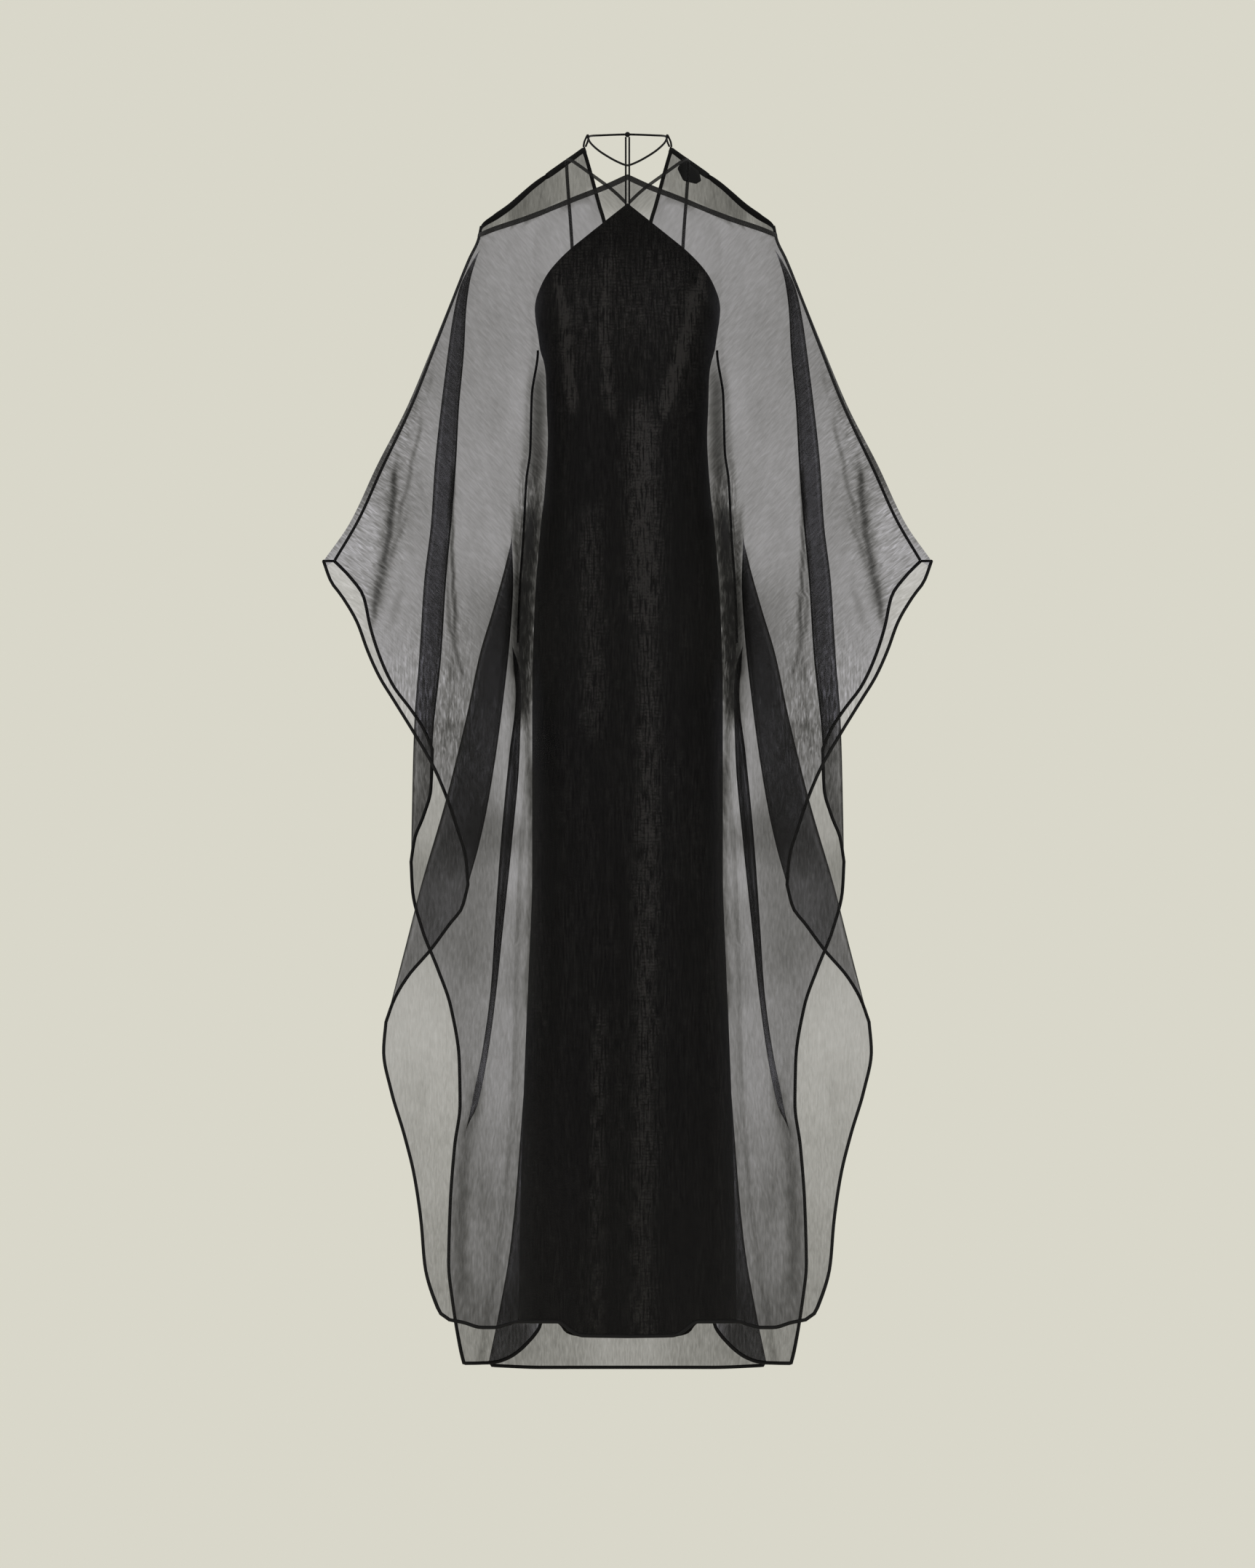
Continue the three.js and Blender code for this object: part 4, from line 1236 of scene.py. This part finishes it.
# %% Cords, straps, loops and bead
NECK_FRONT = [
    [52, 6, -2.5], [48, -10, -10.5], [37.5, -29, -20.5], [24, -43, -29.5], [13, -50, -35.5],
    [3, -53.5, -39.6],
]
NECK_BACK = [[52, 7, -2.3], [47, 26, -0.3], [35, 43, 0.6], [18, 53, 1.5], [0, 56, 2]]
SIDE_LOOP = [
    [57.4, 17.4, -14.4], [56.4, 12, -8.5], [53.8, 6.9, -2.6], [52, 6.4, 0.5], [50.9, 6.7, -2.6],
    [52.2, 11.5, -8.5], [54.6, 17.2, -14.2],
]
FRONT_DROP = [[2.3, -53.7, -41.2], [2.3, -60.1, -53], [2.3, -69, -70], [2.3, -79.2, -90.7]]
BACK_DROP = [[2.3, 60.5, -1.2], [2.3, 66, -45], [2.3, 80, -110], [2.3, 90, -180], [2.3, 95.8, -271.6]]
SLIP_STRAP = [
    [2.4, -80.4, -89], [12, -74, -79.5], [24, -65, -69], [43, -57, -55], [62, -44, -41], [74, -24, -33],
    [79, -2, -34], [79, 20, -50], [77, 38, -80], [74, 56, -120], [71, 70, -170], [68, 76, -220],
    [66, 77, -271.6],
]
BEAD_CENTRE = (0, 60.5, 2)
BEAD_RADIUS = 3.5


CORD_SIDES = 10
CORD_STEP = 1.5
NECK_CORD_RADIUS = 1.4
PAIRED_CORDS = [
    # word, route, radius, finish
    ("side_loop", SIDE_LOOP, 1.3, rouleau),
    ("front_drop_cord", FRONT_DROP, 1.2, rouleau),
    ("back_drop_cord", BACK_DROP, 1.2, rouleau),
    ("slip_strap", SLIP_STRAP, 2.2, strap_cloth),
]


def cord_piece(node, points, radius, finish):
    tube = sweep(smooth_path(points, CORD_STEP), radius, CORD_SIDES)
    return new_piece(f"{node}_cord", *tube, finish)


neck_routes = {
    "neck_cord_front": NECK_FRONT + mirrored(NECK_FRONT)[::-1].tolist(),
    "neck_cord_back": NECK_BACK + mirrored(NECK_BACK)[-2::-1].tolist(),
}
cords = {node: cord_piece(node, route, NECK_CORD_RADIUS, rouleau) for node, route in neck_routes.items()}
for word, route, radius, finish in PAIRED_CORDS:
    for side, turn in BOTH_SIDES.items():
        node = f"{word}_{side}"
        cords[node] = cord_piece(node, np.array(route, float) * turn, radius, finish)


def turned_bead(centre, radius):
    """A slightly flattened bead with a hole dimple at each side, turned from its outline."""
    angles = np.linspace(0.0, math.pi, 17)
    across = np.concatenate([[0.0, 0.9], radius * np.sin(angles)[2:-2], [0.9, 0.0]])
    along = np.concatenate([[2.2, 2.6], radius * np.cos(angles)[2:-2], [-2.6, -2.2]])
    turn = np.linspace(0, 2 * math.pi, 25)
    grid = np.stack([
        np.outer(along, np.ones_like(turn)),
        np.outer(across, np.cos(turn)),
        np.outer(across, np.sin(turn)),
    ], axis=2) + np.array(centre)
    points, faces, _ = weld([(grid, False)])
    return points, faces


bead = new_piece("bead_turned", *turned_bead(BEAD_CENTRE, BEAD_RADIUS), rouleau)

# %% The bare label
LABEL_CORNERS = [[65, 42.8], [72.7, 30.4], [93.5, 46], [96.4, 58.9], [89.8, 62.9], [72.9, 58.8]]
LABEL_PROFILE = [
    # share of the way out to the edge, distance in front of the back panel
    (0, 1.9), (0.35, 1.9), (0.7, 1.9), (0.96, 1.9), (1, 1.6), (0.96, 1.2), (0.7, 1.2), (0, 1.2),
]
back_surface = BVHTree.FromPolygons(
    [v.co for v in back_panel.data.vertices], [tuple(f.vertices) for f in back_panel.data.polygons]
)


def back_cloth_at(x, drop):
    """How far back the back panel lies straight behind a place."""
    return back_surface.ray_cast(Vector((x * MM, -1, -drop * MM)), Vector((0, 1, 0)))[0].y / MM


corners = np.array(LABEL_CORNERS, float)
middle = corners.mean(axis=0)
outline = np.concatenate([
    mix(a, b, np.linspace(0.08, 0.92, 7)[:, None]) for a, b in zip(corners, np.roll(corners, -1, axis=0))
])
outline = np.vstack([outline, outline[:1]])
label_grid = []
for share, stand_off in LABEL_PROFILE:
    ring = mix(middle, outline, share)
    label_grid.append([[x, back_cloth_at(x, drop) - stand_off, -drop] for x, drop in ring])
points, faces, _ = weld([(np.array(label_grid), False)])
label = new_piece("label_woven", points, faces, woven_label)
set_uv(label, points[:, 0] * MM, points[:, 2] * MM)

# %% [markdown]
# ## Stitches
# A stitch is a loop of thread that goes through the cloth and back. A node tree puts one loop at each
# even step along a path and turns it to the cloth: along the path it is a running stitch, and square to
# it the same loop whips over a rolled edge. The nodes do the counting, so a new "pitch" resews a row.

# %% A node tree that sews
LOOP_SIDES = 8
THREAD_SIDES = 3


def sewing_tree():
    tree = bpy.data.node_groups.new("rows_of_stitches", "GeometryNodeTree")
    face = tree.interface
    face.new_socket("Geometry", in_out="INPUT", socket_type="NodeSocketGeometry")
    for name in ("Pitch", "Loop Length", "Loop Height", "Thread Radius", "Slant", "Unevenness"):
        face.new_socket(name, in_out="INPUT", socket_type="NodeSocketFloat")
    face.new_socket("Seed", in_out="INPUT", socket_type="NodeSocketInt")
    face.new_socket("Thread", in_out="INPUT", socket_type="NodeSocketMaterial")
    face.new_socket("Geometry", in_out="OUTPUT", socket_type="NodeSocketGeometry")

    def node(kind, place, feeds=None, **settings):
        """A node whose inputs are each fed by a link or set to a plain value."""
        new = tree.nodes.new(kind)
        new.location = (place[0] * 190, -place[1] * 190)
        for key, value in settings.items():
            setattr(new, key, value)
        for socket, source in (feeds or {}).items():
            if isinstance(source, bpy.types.NodeSocket):
                tree.links.new(source, new.inputs[socket])
            else:
                new.inputs[socket].default_value = source
        return new

    given = node("NodeGroupInput", (0, 0)).outputs
    path = node("GeometryNodeMeshToCurve", (1, 0), {"Mesh": given["Geometry"]})
    along = {"Curve": path.outputs["Curve"], "Length": given["Pitch"]}
    steps = node("GeometryNodeResampleCurve", (2, 0), along, mode="LENGTH")

    # One loop: a squashed circle in the XY plane, given the thread's thickness.
    half_length = node("ShaderNodeMath", (0, 2), {0: given["Loop Length"], 1: 0.5}, operation="MULTIPLY")
    half_height = node("ShaderNodeMath", (0, 3), {0: given["Loop Height"], 1: 0.5}, operation="MULTIPLY")
    halves = {"X": half_length.outputs[0], "Y": half_height.outputs[0], "Z": 1}
    size = node("ShaderNodeCombineXYZ", (1, 2), halves)
    circle = node("GeometryNodeCurvePrimitiveCircle", (1, 1), {"Resolution": LOOP_SIDES, "Radius": 1})
    squash = {"Geometry": circle.outputs["Curve"], "Scale": size.outputs["Vector"]}
    oval = node("GeometryNodeTransform", (2, 1), squash)
    round_thread = {"Resolution": THREAD_SIDES, "Radius": given["Thread Radius"]}
    thread = node("GeometryNodeCurvePrimitiveCircle", (2, 2), round_thread)
    swept = {"Curve": oval.outputs["Geometry"], "Profile Curve": thread.outputs["Curve"]}
    loop = node("GeometryNodeCurveToMesh", (3, 1), swept)

    # Turn each loop: X along the path, Y through the cloth, then a slant with a little unevenness.
    tangent = node("GeometryNodeInputTangent", (2, 4))
    stored = {"Name": "through_cloth"}
    through = node("GeometryNodeInputNamedAttribute", (2, 5), stored, data_type="FLOAT_VECTOR")
    way = {"Vector": tangent.outputs["Tangent"]}
    first = node("FunctionNodeAlignRotationToVector", (3, 4), way, axis="X")
    upright = {"Rotation": first.outputs["Rotation"], "Vector": through.outputs["Attribute"]}
    second = node("FunctionNodeAlignRotationToVector", (4, 4), upright, axis="Y", pivot_axis="X")
    opposite = node("ShaderNodeMath", (1, 6), {0: given["Unevenness"], 1: -1}, operation="MULTIPLY")
    spread = {"Min": opposite.outputs[0], "Max": given["Unevenness"], "Seed": given["Seed"]}
    uneven = node("FunctionNodeRandomValue", (2, 6), spread, data_type="FLOAT")
    slant = node("ShaderNodeMath", (3, 6), {0: given["Slant"], 1: uneven.outputs["Value"]}, operation="ADD")
    about_y = node("ShaderNodeCombineXYZ", (4, 6), {"Y": slant.outputs[0]})
    leaning = {"Rotation": second.outputs["Rotation"], "Rotate By": about_y.outputs["Vector"]}
    turn = node("FunctionNodeRotateRotation", (5, 4), leaning, rotation_space="LOCAL")

    placed = {
        "Points": steps.outputs["Curve"],
        "Instance": loop.outputs["Mesh"],
        "Rotation": turn.outputs["Rotation"],
    }
    sewn = node("GeometryNodeInstanceOnPoints", (6, 0), placed)
    real = node("GeometryNodeRealizeInstances", (7, 0), {"Geometry": sewn.outputs["Instances"]})
    dyed = {"Geometry": real.outputs["Geometry"], "Material": given["Thread"]}
    colour = node("GeometryNodeSetMaterial", (8, 0), dyed)
    node("NodeGroupOutput", (9, 0), {"Geometry": colour.outputs["Geometry"]})
    return tree


sewing = sewing_tree()
print("sewing tree:", len(sewing.nodes), "nodes")

# %% Sew along a set of paths
THREAD_RADIUS = 0.16


def surface_direction(path):
    """A direction through the cloth at each point of a path: front to back, square to the path."""
    way = np.gradient(path, axis=0)
    way /= np.maximum(np.linalg.norm(way, axis=1, keepdims=True), 1e-9)
    out = np.tile([0.0, 1.0, 0.0], (len(path), 1))
    out -= way * np.sum(out * way, axis=1, keepdims=True)
    return out / np.maximum(np.linalg.norm(out, axis=1, keepdims=True), 1e-6)


def sew(name, paths, **sizes):
    """A piece of many stitches. Sizes are in millimetres, and angles in degrees."""
    points, edges, through = [], [], []
    for path in paths:
        start = sum(len(part) for part in points)
        edges += [[start + i, start + i + 1] for i in range(len(path) - 1)]
        points.append(np.asarray(path, float))
        through.append(surface_direction(points[-1]))
    mesh = bpy.data.meshes.new(name + "_path")
    mesh.from_pydata((np.concatenate(points) * MM).tolist(), edges, [])
    layer = mesh.attributes.new("through_cloth", "FLOAT_VECTOR", "POINT")
    layer.data.foreach_set("vector", np.concatenate(through).astype(np.float32).ravel())
    piece = bpy.data.objects.new(name, mesh)
    bpy.context.scene.collection.objects.link(piece)
    values = {"Thread Radius": THREAD_RADIUS * MM, "Seed": 7, "Thread": sewing_thread}
    for key, value in sizes.items():
        socket = key.replace("_", " ").title()
        values[socket] = math.radians(value) if socket in ("Slant", "Unevenness") else value * MM
    modifier = piece.modifiers.new("stitches", "NODES")
    modifier.node_group = sewing
    for item in sewing.interface.items_tree:
        if item.in_out == "INPUT" and item.name in values:
            modifier[item.identifier] = values[item.name]
    evaluated = piece.evaluated_get(bpy.context.evaluated_depsgraph_get())
    sewn = bpy.data.meshes.new_from_object(evaluated)
    piece.modifiers.remove(modifier)
    piece.data = sewn
    sewn.name = name
    print(name, "has", len(sewn.polygons) // (LOOP_SIDES * THREAD_SIDES), "stitches")
    return piece


def between(outer, inner, share):
    return tidy_path(mix(np.asarray(outer, float), np.asarray(inner, float), share), 0.8)


WHIP = dict(pitch=4.5, loop_length=4.1, loop_height=4.1, slant=68, unevenness=7)
SEAM_WHIP = dict(WHIP, loop_length=3.5, loop_height=3.5)
RUNNING = dict(pitch=3.4, loop_length=2.3, loop_height=2.2, slant=0, unevenness=3)
TOP_SHARE = 0.82
KEYHOLE_SHARE = 0.78
chevron_row = between(chevron_outer, chevron_inner, TOP_SHARE)
top_row = between(back_top, back_inner, TOP_SHARE)
top_rows = [top_row * turn for turn in BOTH_SIDES.values()]
key_row = between(keyhole_edge, keyhole_inner, KEYHOLE_SHARE)
key_rows = [key_row * turn for turn in BOTH_SIDES.values()]
STITCH_ROWS = [
    # name, paths, kind of stitch, slot
    ("front_hem_stitches", [front_border], WHIP, "sheer_cloth"),
    ("back_hem_stitches", [back_border], WHIP, "sheer_cloth"),
    ("overarm_stitches", [tidy_path(seam_path), tidy_path(mirrored(seam_path))], SEAM_WHIP, "sheer_cloth"),
    ("side_seam_stitches", [side_path, mirrored(side_path)], SEAM_WHIP, "sheer_cloth"),
    ("chevron_stitches", [chevron_row], RUNNING, "binding"),
    ("back_binding_stitches", top_rows + key_rows, RUNNING, "binding"),
]
stitches = {name: sew(name, paths, **stitch) for name, paths, stitch, _ in STITCH_ROWS}

# %% [markdown]
# ## Light, background and camera
# The garment hangs in soft, even light in front of a plain warm pale wall. A long lens far away keeps
# both sides in nearly parallel view.

# %% Background, floor and lights
PALE = (0.694, 0.680, 0.591)
world = bpy.data.worlds.new("studio")
bpy.context.scene.world = world
world.use_nodes = True
sky = world.node_tree.nodes
seen = sky["Background"]
seen.inputs["Color"].default_value = (*PALE, 1)
dim = sky.new("ShaderNodeBackground")
dim.inputs["Color"].default_value = (0.8, 0.79, 0.75, 1)
dim.inputs["Strength"].default_value = 0.45
choose = sky.new("ShaderNodeMixShader")
ray = sky.new("ShaderNodeLightPath")
links = world.node_tree.links
links.new(ray.outputs["Is Camera Ray"], choose.inputs["Fac"])
links.new(dim.outputs["Background"], choose.inputs[1])
links.new(seen.outputs["Background"], choose.inputs[2])
links.new(choose.outputs["Shader"], sky["World Output"].inputs["Surface"])

FLOOR_SIDES = 64
FLOOR_RADIUS = 2300
FLOOR_DROP = 1950
around = np.linspace(0, 2 * math.pi, FLOOR_SIDES, endpoint=False)
floor_points = np.zeros((FLOOR_SIDES + 1, 3))
floor_points[:-1, 0] = FLOOR_RADIUS * np.cos(around)
floor_points[:-1, 1] = FLOOR_RADIUS * np.sin(around)
floor_points[:, 2] = -FLOOR_DROP
floor_faces = [[i, (i + 1) % FLOOR_SIDES, FLOOR_SIDES] for i in range(FLOOR_SIDES)]
floor = new_piece("floor", floor_points, floor_faces)
floor_finish = Finish("pale_floor")
floor_finish.set(Base_Color=(0.93, 0.91, 0.84, 1), Roughness=0.9)
floor.data.materials.append(floor_finish.material)


GARMENT_MIDDLE = Vector((0, 0, -0.8))
LAMPS = [
    # name, place in metres, width and height in metres, power in watts
    ("key_right", (2.2, -3.6, -0.4), (1.2, 2.6), 60),
    ("key_left", (-3.2, -2.6, -0.6), (1.4, 2.6), 45),
    ("back_left", (-2.5, 3.0, 0.2), (1.2, 2.4), 15),
    ("back_right", (2.5, 3.0, 0.2), (1.2, 2.4), 15),
]
for name, place, size, power in LAMPS:
    lamp = bpy.data.objects.new(name, bpy.data.lights.new(name, "AREA"))
    lamp.data.shape = "RECTANGLE"
    lamp.data.size, lamp.data.size_y = size
    lamp.data.energy = power
    lamp.location = place
    lamp.rotation_euler = (GARMENT_MIDDLE - Vector(place)).to_track_quat("-Z", "Y").to_euler()
    bpy.context.scene.collection.objects.link(lamp)

# %% Camera
VIEW_HEIGHT = 2.0482
VIEW_MIDDLE = -0.8474
DISTANCE = 50.0
SENSOR = 36
camera = bpy.data.objects.new("camera", bpy.data.cameras.new("camera"))
camera.data.sensor_fit = "VERTICAL"
camera.data.sensor_height = SENSOR
camera.data.lens = SENSOR * DISTANCE / VIEW_HEIGHT
camera.data.clip_end = 2 * DISTANCE
camera.location = (0, -DISTANCE, VIEW_MIDDLE)
camera.rotation_euler = (math.pi / 2, 0, 0)
bpy.context.scene.collection.objects.link(camera)
bpy.context.scene.camera = camera
bpy.context.scene.view_settings.view_transform = "Standard"
bpy.context.scene.cycles.transparent_max_bounces = 24

# %% [markdown]
# ## Put every piece on the body
# Every piece rides on the one body, and the parts of the model that a piece stands in for are hidden.

root = "root"
dressed = [
    (front_panel, ["front_panel"], "sheer_cloth"),
    (back_panel, ["back_panel_left", "back_panel_right"], "sheer_cloth"),
    (slip_front, ["slip_front"], "slip_cloth"),
    (slip_back, ["slip_back"], "slip_cloth"),
    (front_neck_binding, ["front_neck_binding"], "binding"),
    (back_neck_bindings[0], ["back_neck_binding_left"], "binding"),
    (back_neck_bindings[1], ["back_neck_binding_right"], "binding"),
    (front_hem, [], "sheer_cloth"),
    (back_hem, [], "sheer_cloth"),
    (overarm_seams, [], "sheer_cloth"),
    (side_seams, [], "sheer_cloth"),
    (bead, ["bead"], "cord"),
    (label, ["label"], "label_cloth"),
]
dressed += [(piece, [node], "cord") for node, piece in cords.items()]
dressed += [(stitches[name], [], slot) for name, _, _, slot in STITCH_ROWS]
for piece, nodes, slot in dressed:
    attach(piece, root)
    if nodes:
        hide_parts(*nodes)

front_sewing = [front_hem, front_neck_binding, overarm_seams, side_seams]
front_sewing += [stitches["front_hem_stitches"], stitches["chevron_stitches"]]
back_sewing = [back_hem, *back_neck_bindings]
back_sewing += [stitches["back_hem_stitches"], stitches["back_binding_stitches"]]


# %% Measure the sheets
def run_length(points):
    return float(np.linalg.norm(np.diff(points, axis=0), axis=1).sum()) * MM


for piece, grid in (
    (front_panel, front_grid),
    (back_panel, back_grid),
    (slip_front, slip_front_grid),
    (slip_back, slip_back_grid),
):
    widest = max(2 * run_length(level) for level in grid)
    length = run_length(grid[:, 0])
    area = sum(face.area for face in piece.data.polygons)
    print(piece.name, round(widest, 3), "m wide,", round(length, 3), "m long,", round(area, 3), "m2")
